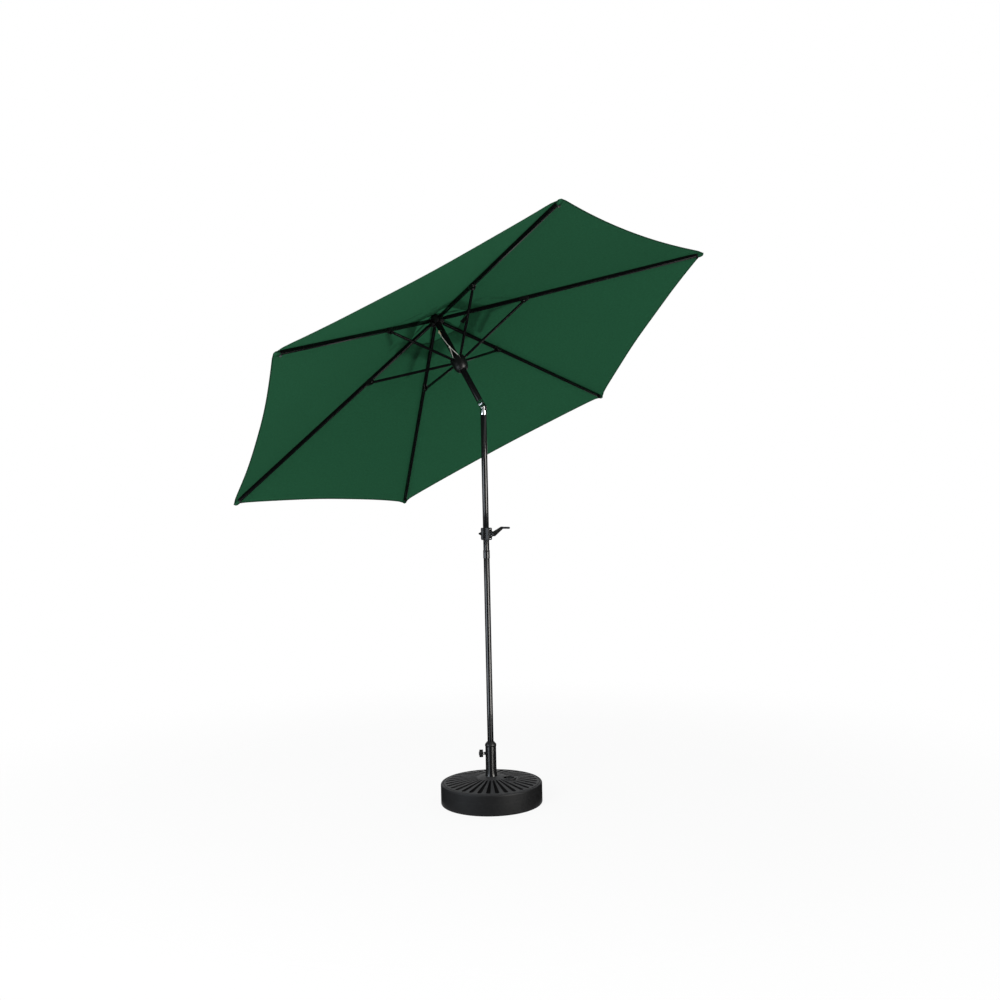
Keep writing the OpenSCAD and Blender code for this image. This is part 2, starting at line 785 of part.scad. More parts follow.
module top_hub() {
    color(plastic_black) on_mast() translate([0, 0, hub_l]) difference() {
        union() {
            translate([0, 0, -hub_down]) cylinder(r = hub_r, h = hub_down + hub_up);
            translate([0, 0, -hub_down - 22]) cylinder(d = mast_id - 2 * slide_fit, h = 23);
            cylinder(r = cap_boss_r, h = cap_z);
            cylinder(d = stud_d, h = cap_z + finial_h * 0.5);
        }
        for (k = [0:ribs - 1]) rotate([0, 0, first_rib_az + k * 360 / ribs])
            translate([hub_ring_r - 8.5, -slot_w / 2, -hub_down - cut])
                cube([hub_r, slot_w, hub_down + 8]);
        wire_ring(hub_ring_r, ring_d + 0.04);
    }
}

module hub_ring() {
    color(chrome) on_mast() translate([0, 0, hub_l]) wire_ring(hub_ring_r, ring_d);
}

module finial() {
    seat = cap_z + cloth_t + 2 * near_gap;
    top = cap_z + finial_h;
    ball = 14;
    color(plastic_black) on_mast() translate([0, 0, hub_l]) difference() {
        rotate_extrude() polygon(concat(
            [[0, seat], [18, seat], [18, seat + 4], [12, seat + 10], [9, seat + 14]],
            [for (a = [-50:10:80]) [ball * cos(a), top - ball + ball * sin(a)]],
            [[0, top]]
        ));
        cylinder(d = stud_d + 2 * slide_fit, h = cap_z + finial_h * 0.5 + 1);
    }
}

module cord_pulley() {
    color("#cfc38a") on_mast() rotate([0, 0, pulley_az]) translate([pulley_x, 0, pulley_l])
        rotate([90, 0, 0]) difference() {
            rotate_extrude() polygon([
                [0, -pulley_w / 2], [pulley_r + 1.2, -pulley_w / 2],
                [pulley_r - 1.5, -0.8], [pulley_r - 1.5, 0.8],
                [pulley_r + 1.2, pulley_w / 2], [0, pulley_w / 2]
            ]);
            cylinder(d = axle_d + 2 * run_fit, h = through, center = true);
        }
}

module pulley_axle() {
    color(chrome) on_mast() rotate([0, 0, pulley_az]) translate([pulley_x, 0, pulley_l])
        bar_y(axle_d, -axle_half(), axle_half());
}

function axle_half() = sqrt(pow(mast_d / 2, 2) - pow(pulley_x, 2)) + 0.5;

// ---------------------------------------------------------------- lift cord
module lift_cord_lower() {
    off = wound_d / 2 + cord_d / 2 + near_gap;
    color("#d8d3c0") {
        rod([0, off, crank_z + 2], [0, off, crank_z + cord_lead], cord_d);
        rod([0, off, crank_z + cord_lead], [0, 0, crank_z + cord_centred], cord_d);
        rod([0, 0, crank_z + cord_centred], [0, 0, tilt_z - cord_d / 2 - near_gap], cord_d);
    }
}

module lift_cord_upper() {
    inner = pulley_x - pulley_r - cord_d / 2 + 1;
    p = about(inner, pulley_az, pulley_l);
    color("#d8d3c0") on_mast() {
        rod([0, 0, cord_d / 2 + near_gap], [0, 0, pulley_l - cord_swing], cord_d);
        rod([0, 0, pulley_l - cord_swing], p, cord_d);
    }
}

module lift_cord_outer() {
    outer = pulley_x + pulley_r + cord_d / 2 + near_gap;
    from = about(outer, pulley_az, pulley_l);
    knot = about(mast_d / 2 + 5, knot_az, hub_l - knot_drop);
    foot_l = runner_l + runner_above + cord_d / 2 + near_gap;
    color("#d8d3c0") on_mast() {
        rod(from, knot, cord_d);
        translate(knot) sphere(d = cord_d * 2.2, $fn = 24);
        for (side = [-1, 1])
            rod(knot, about(runner_bore / 2 + 4, knot_az + 18 + side * 50, foot_l), cord_d);
    }
}

// ---------------------------------------------------------------- runner
module runner() {
    color(plastic_black) on_mast() translate([0, 0, runner_l]) difference() {
        union() {
            translate([0, 0, -12]) cylinder(r = runner_d / 2, h = 12 + runner_above);
            rotate_extrude() polygon(concat(
                [[0, -11], [runner_d / 2, -12]],
                [for (a = [10:10:90]) [
                    runner_d / 2 - (runner_d / 2 - runner_bore / 2 - 4) * (1 - cos(a)),
                    -12 - (runner_below - 12) * sin(a)]],
                [[0, -runner_below]]
            ));
        }
        translate([0, 0, -runner_below - cut])
            cylinder(d = runner_bore, h = runner_below + runner_above + 2 * cut);
        for (k = [0:ribs - 1]) rotate([0, 0, first_rib_az + k * 360 / ribs])
            translate([runner_ring_r - 7, -slot_w / 2, -8]) cube([runner_d, slot_w, cut_reach]);
        wire_ring(runner_ring_r, ring_d + 0.04);
    }
}

module runner_ring() {
    color(chrome) on_mast() translate([0, 0, runner_l]) wire_ring(runner_ring_r, ring_d);
}

// ---------------------------------------------------------------- ribs and struts
module rib(k) {
    color(steel_black) on_rib(k) difference() {
        union() {
            translate([rib_from, 0, 0]) rotate([90, 0, 90]) linear_extrude(rib_len - plug_l - rib_from)
                difference() {
                    round_rect(rib_w, rib_h, 2.5);
                    round_rect(rib_w - 2 * rib_wall, rib_h - 2 * rib_wall, 1.5);
                }
            rotate([90, 0, 0]) linear_extrude(tongue_t, center = true) {
                circle(d = tongue_h);
                translate([0, -tongue_h / 2]) square([rib_from + tongue_in, tongue_h]);
            }
        }
        rotate([90, 0, 0]) cylinder(d = ring_d + 0.7, h = through, center = true);
    }
}

module rib_fittings(k) {
    low = bracket_drop + eye_r + 1;
    high = rib_h / 2 - 1.5;
    color(plastic_black) on_rib(k) {
        translate([bracket_at, 0, 0]) {
            difference() {
                union() {
                    for (side = [-1, 1]) translate([0, side * (cheek_gap + cheek_w / 2), 0])
                        rotate([90, 0, 0]) linear_extrude(cheek_w, center = true) {
                            polygon([[-16, high], [-20, -2], [-6, -low + 3], [0, -low],
                                     [6, -low + 3], [22, -rib_h / 2 - 2], [26, 0], [22, high]]);
                        }
                    translate([9, -cheek_gap - cheek_w / 2, -rib_h / 2 - 2.2])
                        cube([12, 2 * cheek_gap + cheek_w, 2]);
                }
                translate([0, 0, -bracket_drop]) bar_y(pin_d + 0.04, -through / 2, through / 2);
            }
            // the rivet that the strut turns on
            translate([0, 0, -bracket_drop]) {
                bar_y(pin_d, -cheek_gap - cheek_w - 0.5, cheek_gap + cheek_w + 0.5);
                for (side = [0, 180]) rotate([0, 0, side])
                    bar_y(pin_d + 4, cheek_gap + cheek_w + slide_fit, cheek_gap + cheek_w + 1.5);
            }
        }
        // the plug in the rib's end, with a stud for the cloth's corner pocket
        translate([rib_len - plug_l + slide_fit, 0, 0]) {
            rotate([90, 0, 90]) linear_extrude(plug_l - 4) round_rect(rib_w, rib_h - 1, 2.5);
            translate([-20, 0, 0]) rotate([90, 0, 90]) linear_extrude(22)
                round_rect(rib_w - 2 * rib_wall - 0.2, rib_h - 2 * rib_wall - 0.2, 1.2);
            bar_x(7, 0, plug_l - slide_fit);
        }
    }
}

module strut(k) {
    color(steel_black) on_strut(k) difference() {
        union() {
            translate([strut_from, 0, 0]) rotate([90, 0, 90])
                linear_extrude(strut_len - strut_from - strut_tail)
                difference() {
                    round_rect(strut_w, strut_h, 2);
                    round_rect(strut_w - 1.8, strut_h - 1.8, 1.2);
                }
            for (x = [0, strut_len]) translate([x, 0, 0]) rotate([90, 0, 0])
                linear_extrude(strut_eye_t, center = true) {
                    circle(r = x == 0 ? slack_r + 2 : eye_r);
                    translate([x == 0 ? 0 : -strut_neck, -strut_h / 2 + 1])
                        square([strut_neck, strut_h - 2]);
                }
        }
        rotate([90, 0, 0]) cylinder(r = slack_r, h = through, center = true);
        translate([strut_len, 0, 0]) rotate([90, 0, 0])
            cylinder(d = pin_d + 2 * run_fit, h = through, center = true);
    }
}

// ---------------------------------------------------------------- cloth
// A point of a rib's cloth line, a given way along the rib
function cloth_line(a, az) = about(
    rib_root[0] + a * rib_way[0] - cloth_up * rib_below[0], az,
    rib_root[1] + a * rib_way[1] - cloth_up * rib_below[1]);

// Height of that line at a given distance from the mast's axis
function cloth_height(r) =
    rib_root[1] - (r - rib_root[0]) * tan(rib_droop) + cloth_up / cos(rib_droop);

// A point of one panel: s runs from the vent to the hem, w from one rib to the next
function panel_point(k, s, w) =
    let (az = first_rib_az + k * 360 / ribs, step = 360 / ribs,
         a0 = (vent_r - rib_root[0]) / rib_way[0], a = a0 + (cloth_len - a0) * s,
         p = cloth_line(a, az), q = cloth_line(a, az + step),
         edge = seam_gap / 2 / norm(q - p), v = edge + w * (1 - 2 * edge),
         bow = 4 * w * (1 - w),
         mid = [cos(az + step / 2), sin(az + step / 2), 0])
    p + (q - p) * v - mid * hem_draw * bow * s * s - [0, 0, hem_sag * bow * s];

// A closed sheet over a grid of points, na rows of nb; a loop's rows close on themselves
module sheet(points, na, nb, t, loop = false) {
    n = na * nb;
    function at(i, j) = i * nb + j % nb;
    rows = [0:na - 2];
    columns = [0:loop ? nb - 1 : nb - 2];
    under = [for (i = rows, j = columns) each [
        [at(i, j), at(i + 1, j + 1), at(i, j + 1)], [at(i, j), at(i + 1, j), at(i + 1, j + 1)]]];
    over = [for (f = under) [f[0] + n, f[2] + n, f[1] + n]];
    ends = [for (j = columns) each [
        [at(0, j), at(0, j + 1), n + at(0, j + 1)], [at(0, j), n + at(0, j + 1), n + at(0, j)],
        [at(na - 1, j + 1), at(na - 1, j), n + at(na - 1, j)],
        [at(na - 1, j + 1), n + at(na - 1, j), n + at(na - 1, j + 1)]]];
    sides = [for (i = rows) each [
        [at(i + 1, 0), at(i, 0), n + at(i, 0)], [at(i + 1, 0), n + at(i, 0), n + at(i + 1, 0)],
        [at(i, nb - 1), at(i + 1, nb - 1), n + at(i + 1, nb - 1)],
        [at(i, nb - 1), n + at(i + 1, nb - 1), n + at(i, nb - 1)]]];
    polyhedron(points = concat(points, [for (p = points) p + [0, 0, t]]), convexity = 6,
        faces = concat(under, over, ends, loop ? [] : sides));
}

module canopy() {
    na = 8;
    nb = 13;
    color(cloth_green) on_mast() for (k = [0:ribs - 1])
        sheet([for (i = [0:na - 1], j = [0:nb - 1]) panel_point(k, i / (na - 1), j / (nb - 1))],
            na, nb, cloth_t);
}

// The vent cap: flat where the finial clamps it, then straight to its corners over the ribs
// and bowed up between them; s is 0 at the flat's edge, 1 at the hem and below 0 at the hole
function cap_point(s, turn) =
    let (step = 360 / ribs, w = (turn % step) / step, bow = 4 * w * (1 - w),
         corner = cos(step / 2) / cos((w - 0.5) * step), flat = cap_boss_r + 6,
         r = s < 0 ? stud_d / 2 + 1 : flat + (cap_r * (corner - cap_draw * bow) - flat) * s,
         fall = max(s, 0), low = cloth_height(cap_r) + cloth_t + near_gap,
         high = hub_l + cap_z + near_gap)
    about(r, first_rib_az + turn, high + (low - high) * fall + cap_bow * bow * fall * fall);

module vent_canopy() {
    rings = [-1, for (i = [0:5]) i / 5];
    nb = 48;
    color(cloth_green) on_mast()
        sheet([for (s = rings, j = [0:nb - 1]) cap_point(s, j * 360 / nb)],
            len(rings), nb, cloth_t, loop = true);
}

module tie_strap() {
    // hangs from the first rib's side, just inside the vent hole's edge
    color(plastic_black) on_rib(1) translate([vent_r - hub_ring_r + 6, rib_w / 2 + near_gap, 0])
        rotate([0, 140, 0]) {
            translate([0, 0, -1]) cube([strap_l, 1.4, strap_w]);
        }
}

base_tank();
sand_ballast();
base_tube();
tube_collar();
pole_bush();
filler_cap();
clamp_pad();
clamp_screw();
clamp_knob();
pole_plug();
lower_pole();
pole_ferrule();
upper_pole();
housing_front();
housing_rear();
housing_screws();
lower_knuckle();
tilt_rivets();
button_spring();
lift_cord_lower();
crank_shaft();
crank_ferrule();
crank_arm();
cord_winding();
crank_grip();
tilt_button();
upper_knuckle();
mast_tube();
top_hub();
hub_ring();
finial();
canopy();
vent_canopy();
pulley_axle();
lift_cord_upper();
cord_pulley();
runner();
runner_ring();
lift_cord_outer();
tie_strap();
rib(1);  // rib_1
rib(2);  // rib_2
rib(3);  // rib_3
rib(4);  // rib_4
rib(5);  // rib_5
rib(6);  // rib_6
rib_fittings(1);  // rib_1_fittings
rib_fittings(2);  // rib_2_fittings
rib_fittings(3);  // rib_3_fittings
rib_fittings(4);  // rib_4_fittings
rib_fittings(5);  // rib_5_fittings
rib_fittings(6);  // rib_6_fittings
strut(1);  // strut_1
strut(2);  // strut_2
strut(3);  // strut_3
strut(4);  // strut_4
strut(5);  // strut_5
strut(6);  // strut_6
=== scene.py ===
"""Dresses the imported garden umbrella: a tilting, crank-lift umbrella on a round base.

Every piece is in metres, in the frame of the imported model: +Z up, the origin in
the middle of the base's underside, the canopy leaning towards -X.
"""

import json
import math

import bmesh
import bpy
from mathutils import Matrix, Vector


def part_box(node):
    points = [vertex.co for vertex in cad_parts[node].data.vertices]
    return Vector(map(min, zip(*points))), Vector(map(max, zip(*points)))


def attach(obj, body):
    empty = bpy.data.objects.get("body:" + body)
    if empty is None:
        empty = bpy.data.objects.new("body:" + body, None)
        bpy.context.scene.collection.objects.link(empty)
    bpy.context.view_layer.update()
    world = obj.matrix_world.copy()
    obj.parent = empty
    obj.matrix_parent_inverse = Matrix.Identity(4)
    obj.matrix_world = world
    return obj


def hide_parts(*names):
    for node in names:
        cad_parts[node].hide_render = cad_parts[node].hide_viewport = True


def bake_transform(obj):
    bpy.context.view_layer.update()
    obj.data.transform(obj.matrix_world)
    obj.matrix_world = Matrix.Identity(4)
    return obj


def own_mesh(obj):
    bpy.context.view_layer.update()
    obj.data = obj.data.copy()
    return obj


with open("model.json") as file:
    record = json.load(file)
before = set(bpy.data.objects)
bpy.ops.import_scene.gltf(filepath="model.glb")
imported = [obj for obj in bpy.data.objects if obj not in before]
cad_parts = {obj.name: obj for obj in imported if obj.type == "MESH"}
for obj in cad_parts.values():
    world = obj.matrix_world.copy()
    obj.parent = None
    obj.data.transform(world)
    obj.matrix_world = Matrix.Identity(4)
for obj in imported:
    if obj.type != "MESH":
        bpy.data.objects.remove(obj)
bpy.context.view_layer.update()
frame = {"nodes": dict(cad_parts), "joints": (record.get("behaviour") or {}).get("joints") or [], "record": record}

bl_info = {
    "name": "Garden umbrella",
    "version": (1, 0, 0),
    "blender": (4, 5, 0),
    "location": "View3D > Sidebar > Umbrella",
    "description": "Dresses a packed garden umbrella with its cloth, metal and plastic",
    "category": "Object",
}

MM = 0.001
# The upright axis, as bmesh.ops.spin takes it
AXIS = {"cent": (0, 0, 0), "axis": (0, 0, 1), "dvec": (0, 0, 0)}
RIB_COUNT = 6
STEP = 2 * math.pi / RIB_COUNT
JOINTS = {joint["name"]: joint for joint in frame["joints"]}

# --------------------------------------------------------------------------
# Frames of the part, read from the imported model's joints


def joint_point(name):
    return Vector(JOINTS[name]["pos_m"])


def joint_axis(name):
    return Vector(JOINTS[name]["axis"]).normalized()


def fold_joint(k):
    return "canopy_fold" if k == 1 else f"rib_{k}_fold"


MAST_WAY = -joint_axis("runner_slide")
TILT = math.atan2(-MAST_WAY.x, MAST_WAY.z)
MAST = Matrix.Translation(joint_point("mast_tilt")) @ Matrix.Rotation(-TILT, 4, "Y")
ON_MAST = MAST.inverted()
FIRST_PIVOT = ON_MAST @ joint_point("canopy_fold")
RING_R = math.hypot(FIRST_PIVOT.x, FIRST_PIVOT.y)
HUB_L = FIRST_PIVOT.z
FIRST_AZ = math.atan2(FIRST_PIVOT.y, FIRST_PIVOT.x)
DROOP = math.radians(15.8)


def rib_az(k):
    return FIRST_AZ + (k - 1) * STEP


def rib_frame(k):
    """A rib's own frame: the origin at its pivot, +X along it, +Z to the cloth."""
    turn = Matrix.Rotation(rib_az(k), 4, "Z")
    out = Matrix.Translation((RING_R, 0, HUB_L))
    return MAST @ turn @ out @ Matrix.Rotation(DROOP, 4, "Y")


def about(r, az, z):
    return Vector((r * math.cos(az), r * math.sin(az), z))


# --------------------------------------------------------------------------
# Sizes and colours that a user would change


def length_property(name, description, default):
    """A length, with its default given in mm."""
    return bpy.props.FloatProperty(name=name, description=description,
                                   default=default * MM, unit="LENGTH")


def colour_property(name, description, default):
    return bpy.props.FloatVectorProperty(name=name, description=description,
                                         default=default, subtype="COLOR", size=3)


class UmbrellaSizes(bpy.types.PropertyGroup):
    """Sizes of the soft and moulded detail"""

    cloth: length_property("Cloth", "Thickness of the canopy's cloth", 0.8)
    hem: length_property("Hem", "Width of the folded hem", 9)
    seam: length_property("Seam", "Half width of the seam over a rib", 6)
    weave: length_property("Weave", "Distance between the cloth's threads", 1.1)
    groove: length_property("Groove", "Depth of the base's radial grooves", 3)
    bevel: length_property("Edge", "Rounding of the fittings' edges", 0.5)


class UmbrellaColours(bpy.types.PropertyGroup):
    """Colours of the finishes"""

    cloth: colour_property("Cloth", "Dyed cloth of the canopy", (0.0200, 0.105, 0.0495))
    tank: colour_property("Base", "Moulded plastic of the base", (0.0095, 0.0097, 0.0102))
    steel: colour_property("Pole", "Powder coat of the pole, mast and ribs",
                           (0.0040, 0.0041, 0.0045))
    plastic: colour_property("Fittings", "Moulded plastic of the fittings",
                             (0.0055, 0.0056, 0.0060))
    metal: colour_property("Metal", "Bright plated metal", (0.46, 0.47, 0.48))
    cord: colour_property("Cord", "Braided lift cord", (0.90, 0.89, 0.83))
    nylon: colour_property("Pulley", "Natural nylon of the pulley and clamp pad",
                           (0.66, 0.58, 0.34))
    sand: colour_property("Filling", "Sand that fills the base", (0.50, 0.40, 0.26))


def sizes():
    return bpy.context.scene.umbrella_sizes


def colours():
    return bpy.context.scene.umbrella_colours


# --------------------------------------------------------------------------
# Materials

STITCH = 3.2 * MM

_finishes = {}


class Nodes:
    """A node tree, built a node at a time."""

    def __init__(self, tree):
        self.tree = tree

    def node(self, kind, **settings):
        made = self.tree.nodes.new(kind)
        for key, value in settings.items():
            setattr(made, key, value)
        return made

    def link(self, source, target):
        self.tree.links.new(source, target)

    def feed(self, socket, value):
        if isinstance(value, bpy.types.NodeSocket):
            self.link(value, socket)
        else:
            socket.default_value = value

    def math(self, operation, a, b=0.0, clamp=False):
        made = self.node("ShaderNodeMath", operation=operation, use_clamp=clamp)
        self.feed(made.inputs[0], a)
        self.feed(made.inputs[1], b)
        return made.outputs[0]

    def between(self, value, low, high, out_low=0.0, out_high=1.0, kind="LINEAR"):
        """A value's place from low to high, brought to a range of its own."""
        made = self.node("ShaderNodeMapRange", interpolation_type=kind)
        for key, number in (("Value", value), ("From Min", low), ("From Max", high),
                            ("To Min", out_low), ("To Max", out_high)):
            self.feed(made.inputs[key], number)
        return made.outputs["Result"]

    def split(self, vector):
        made = self.node("ShaderNodeSeparateXYZ")
        self.link(vector, made.inputs[0])
        return made.outputs[:]


class Finish(Nodes):
    """A material, built round its main shader."""

    def __init__(self, name, roughness, metallic=0.0, specular=0.5):
        self.material = bpy.data.materials.new(name)
        self.material.use_nodes = True
        super().__init__(self.material.node_tree)
        self.shader = self.tree.nodes["Principled BSDF"]
        self.set("Roughness", roughness)
        self.set("Metallic", metallic)
        self.set("Specular IOR Level", specular)
        self.place, self.uv = self.read("TexCoord", "Object"), self.read("TexCoord", "UV")

    def set(self, socket, value):
        self.feed(self.shader.inputs[socket], value)

    def read(self, kind, output):
        return self.node("ShaderNode" + kind).outputs[output]

    def attribute(self, name):
        return self.node("ShaderNodeAttribute", attribute_name=name).outputs["Fac"]

    def noise(self, scale, detail=3.0, place=None):
        made = self.node("ShaderNodeTexNoise")
        for key, number in (("Scale", scale), ("Detail", detail), ("Roughness", 0.55)):
            made.inputs[key].default_value = number
        self.link(place or self.place, made.inputs["Vector"])
        return made.outputs["Fac"]

    def mix(self, share, a, b):
        made = self.node("ShaderNodeMix", data_type="RGBA")
        self.feed(made.inputs["Factor"], share)
        for socket, value in ((made.inputs[6], a), (made.inputs[7], b)):
            known = isinstance(value, bpy.types.NodeSocket)
            self.feed(socket, value if known else (*value[:3], 1.0))
        return made.outputs[2]

    def bump(self, height, distance, strength=1.0, under=None):
        made = self.node("ShaderNodeBump")
        made.inputs["Strength"].default_value = strength
        made.inputs["Distance"].default_value = distance
        self.link(height, made.inputs["Height"])
        if under is not None:
            self.link(under, made.inputs["Normal"])
        return made.outputs["Normal"]

    def blend(self, share, a, b):
        """One shader in part over another."""
        made = self.node("ShaderNodeMixShader")
        for socket, value in zip(made.inputs, (share, a, b)):
            self.feed(socket, value)
        return made.outputs[0]

    def surface(self, shader):
        self.link(shader, self.tree.nodes["Material Output"].inputs["Surface"])


def shade(colour, factor):
    return tuple(min(1.0, c * factor) for c in colour)


def moulded(name, colour, roughness, grain, specular, grooved=False):
    """Moulded plastic: fine grain, faint mottling, and paler convex edges that are partly rubbed wear and partly a
    painted highlight.

    A grooved one has painted light on its upward faces, and painted shade in its grooves, which are duller too.
    """
    f = Finish(name, roughness, specular=specular)
    mottle = f.between(f.noise(22, 4), 0.3, 0.7)
    body = f.mix(mottle, shade(colour, 0.86), shade(colour, 1.12))
    # paler convex edges: partly rubbed wear, broken up by the scuff noise, and partly a painted highlight along
    # the edges
    edge = f.between(f.read("NewGeometry", "Pointiness"), 0.53, 0.62, 0.0, 0.5)
    scuffs = f.between(f.noise(140, 5), 0.45, 0.7)
    body = f.mix(f.math("MULTIPLY", edge, scuffs, clamp=True), body, shade(colour, 2.2))
    if grooved:
        x, y, z = f.split(f.place)
        r = f.math("SQRT", f.math("ADD", f.math("MULTIPLY", x, x), f.math("MULTIPLY", y, y)))
        top = f.between(r, CONE_R * MM, STAND_R * MM, RIM_Z * MM, (RIM_Z + CROWN) * MM)
        groove_shade = f.math("DIVIDE", f.math("SUBTRACT", top, z), sizes().groove, clamp=True)
        inside = f.math("LESS_THAN", r, (GROOVE_END + 1) * MM)
        groove_shade = f.math("MULTIPLY", groove_shade, inside)
        # painted light from above: faces that look up are made lighter
        painted_top_light = f.between(f.split(f.read("NewGeometry", "Normal"))[2], 0.5, 0.95)
        body = f.mix(painted_top_light, body, f.mix(mottle, shade(colour, 2.7), shade(colour, 3.4)))
        # painted shade in the grooves: their floors are darker, and duller too
        body = f.mix(groove_shade, body, shade(colour, 0.3))
        f.set("Specular IOR Level", f.between(groove_shade, 0.0, 1.0, specular, 0.1 * specular))
    f.set("Base Color", body)
    f.set("Roughness", f.between(f.noise(60, 4), 0.3, 0.7, roughness - 0.05, roughness + 0.07))
    f.set("Normal", f.bump(f.noise(1500, 2), grain))
    return f.material


def powder_coat(name, colour, roughness, specular):
    """Gloss powder coat on steel: a faint orange peel and a few dull patches."""
    f = Finish(name, roughness, specular=specular)
    f.set("Base Color", f.mix(f.between(f.noise(9, 3), 0.35, 0.65),
                              shade(colour, 0.9), shade(colour, 1.15)))
    f.set("Roughness", f.between(f.noise(35, 3), 0.3, 0.7, roughness, roughness + 0.06))
    f.set("Normal", f.bump(f.noise(420, 2), 0.02 * MM))
    return f.material


def plated(name, colour, roughness):
    """Bright plated metal with fine polishing marks."""
    f = Finish(name, roughness, metallic=1.0)
    stretch = f.node("ShaderNodeMapping")
    stretch.inputs["Scale"].default_value = (1.0, 1.0, 9.0)
    f.link(f.place, stretch.inputs["Vector"])
    marks = f.noise(380, 4, stretch.outputs["Vector"])
    f.set("Base Color", f.mix(f.between(f.noise(45, 3), 0.35, 0.7),
                              colour, shade(colour, 0.82)))
    f.set("Roughness", f.between(marks, 0.3, 0.7, roughness, roughness + 0.12))
    f.set("Normal", f.bump(marks, 0.015 * MM))
    return f.material


def woven(name, colour, pitch, roughness, translucent=0.0):
    """Plain-woven cloth: crossing threads and slubs.

    Translucent cloth has its sewing too: double layers and pleats with painted shade, and lighter stitches.
    """
    f = Finish(name, roughness, specular=0.02)
    warp, weft = (f.math("SINE", f.math("MULTIPLY", way, 2 * math.pi / pitch))
                  for way in f.split(f.uv)[:2])
    weave = f.math("MULTIPLY", warp, weft)
    slub = f.noise(90, 4, f.uv)
    body = f.mix(f.between(slub, 0.3, 0.7), shade(colour, 0.90), shade(colour, 1.10))
    body = f.mix(f.between(weave, -1.0, 1.0, 0.0, 0.22), body, shade(colour, 0.55))
    normal = f.bump(f.math("ADD", weave, f.math("MULTIPLY", slub, 0.8)), 0.12 * MM, 0.6)
    if translucent:
        doubled, pleat_shade = f.attribute("doubled"), f.attribute("pleat_shade")
        dash = f.math("MULTIPLY", f.attribute("stitch_run"), 2 * math.pi / STITCH)
        dash = f.between(f.math("SINE", dash), -0.1, 0.3)
        stitch = f.math("MULTIPLY", f.attribute("stitches"), dash)
        # painted shade: double layers and folds are darkened, for the light that two layers or a fold hold back;
        # the stitches are lighter
        for where, most, tone in ((doubled, 0.85, 0.40), (pleat_shade, 0.85, 0.2),
                                  (stitch, 0.5, 1.8)):
            body = f.mix(f.math("MULTIPLY", where, most), body, shade(colour, tone))
        normal = f.bump(stitch, 0.4 * MM, 0.7, under=normal)
        glow = f.node("ShaderNodeBsdfTranslucent")
        f.link(body, glow.inputs["Color"])
        single = f.between(f.attribute("thin"), 0.0, 1.0, translucent, 0.85)
        layers = f.between(f.math("MAXIMUM", doubled, pleat_shade), 0.0, 1.0, 1.0, 0.3)
        cloth = f.blend(f.math("MULTIPLY", single, layers), f.shader.outputs[0],
                        glow.outputs[0])
        # light scatters at the face it meets from outside and passes the one behind it
        clear = f.read("BsdfTransparent", "BSDF")
        f.surface(f.blend(f.read("NewGeometry", "Backfacing"), cloth, clear))
    f.set("Base Color", body)
    f.set("Normal", normal)
    return f.material


def braided(name, colour, pitch):
    """Braided cord: strands that cross round it, by its own UV map."""
    f = Finish(name, 0.75, specular=0.2)
    along, about_it = f.split(f.uv)[:2]
    along = f.math("MULTIPLY", along, 2 * math.pi / pitch)
    about_it = f.math("MULTIPLY", about_it, 2 * math.pi * 4)
    left, right = (f.math("SINE", f.math(way, along, about_it)) for way in ("ADD", "SUBTRACT"))
    strands = f.math("MAXIMUM", left, right)
    f.set("Base Color", f.mix(f.between(strands, -0.4, 0.9), shade(colour, 0.9), colour))
    f.set("Normal", f.bump(strands, 0.3 * MM))
    return f.material


def granular(name, colour):
    """Loose damp sand."""
    f = Finish(name, 0.9, specular=0.2)
    grains = f.noise(900, 5)
    body = f.mix(f.between(grains, 0.35, 0.65), shade(colour, 0.6), shade(colour, 1.25))
    damp = f.between(f.noise(12, 3), 0.4, 0.7, 0.0, 0.5)
    f.set("Base Color", f.mix(damp, body, shade(colour, 0.5)))
    f.set("Normal", f.bump(grains, 0.5 * MM))
    return f.material


def finish(slot):
    """The material of one of the record's slots, made once."""
    if slot not in _finishes:
        c = colours()
        make, *settings = {
            "tank_plastic": (moulded, c.tank, 0.46, 0.06 * MM, 0.05, True),
            "filling": (granular, c.sand),
            "black_steel": (powder_coat, c.steel, 0.13, 0.28),
            "mast_steel": (powder_coat, c.steel, 0.17, 0.07),
            "black_plastic": (moulded, c.plastic, 0.34, 0.02 * MM, 0.18),
            "fitting_black": (moulded, c.plastic, 0.34, 0.02 * MM, 0.14),
            "bright_metal": (plated, c.metal, 0.07),
            "pad_plastic": (moulded, c.nylon, 0.40, 0.02 * MM, 0.4),
            "cord": (braided, c.cord, 3.0 * MM),
            "cloth": (woven, c.cloth, sizes().weave, 0.92, 0.42),
            "webbing": (woven, c.plastic, 1.6 * MM, 0.8),
        }[slot]
        _finishes[slot] = make(slot, *settings)
    return _finishes[slot]


SLOTS = {part["node"]: part["material_slot"] for part in frame["record"]["subparts"]}


# --------------------------------------------------------------------------
# Making pieces


def ring_profile(bm, points):
    """Edges through points of a lathe's profile, as (radius, height) in metres."""
    verts = [bm.verts.new((r, 0, z)) for r, z in points]
    return verts, [bm.edges.new(pair) for pair in zip(verts, verts[1:])]


def lathe(profile, steps=64, closed=False, place=None):
    """A turned solid, from its profile as (radius, height) in mm.

    A closed profile makes a ring or tube, an open one starts and ends on the axis.
    """
    bm = bmesh.new()
    verts, edges = ring_profile(bm, [(r * MM, z * MM) for r, z in profile])
    if closed:
        edges.append(bm.edges.new((verts[-1], verts[0])))
    bmesh.ops.spin(bm, geom=verts + edges, angle=2 * math.pi, steps=steps, use_merge=True,
                   use_duplicate=False, **AXIS)
    bmesh.ops.remove_doubles(bm, verts=bm.verts, dist=1e-6)
    bmesh.ops.recalc_face_normals(bm, faces=bm.faces)
    if place is not None:
        bmesh.ops.transform(bm, matrix=place, verts=bm.verts)
    return bm


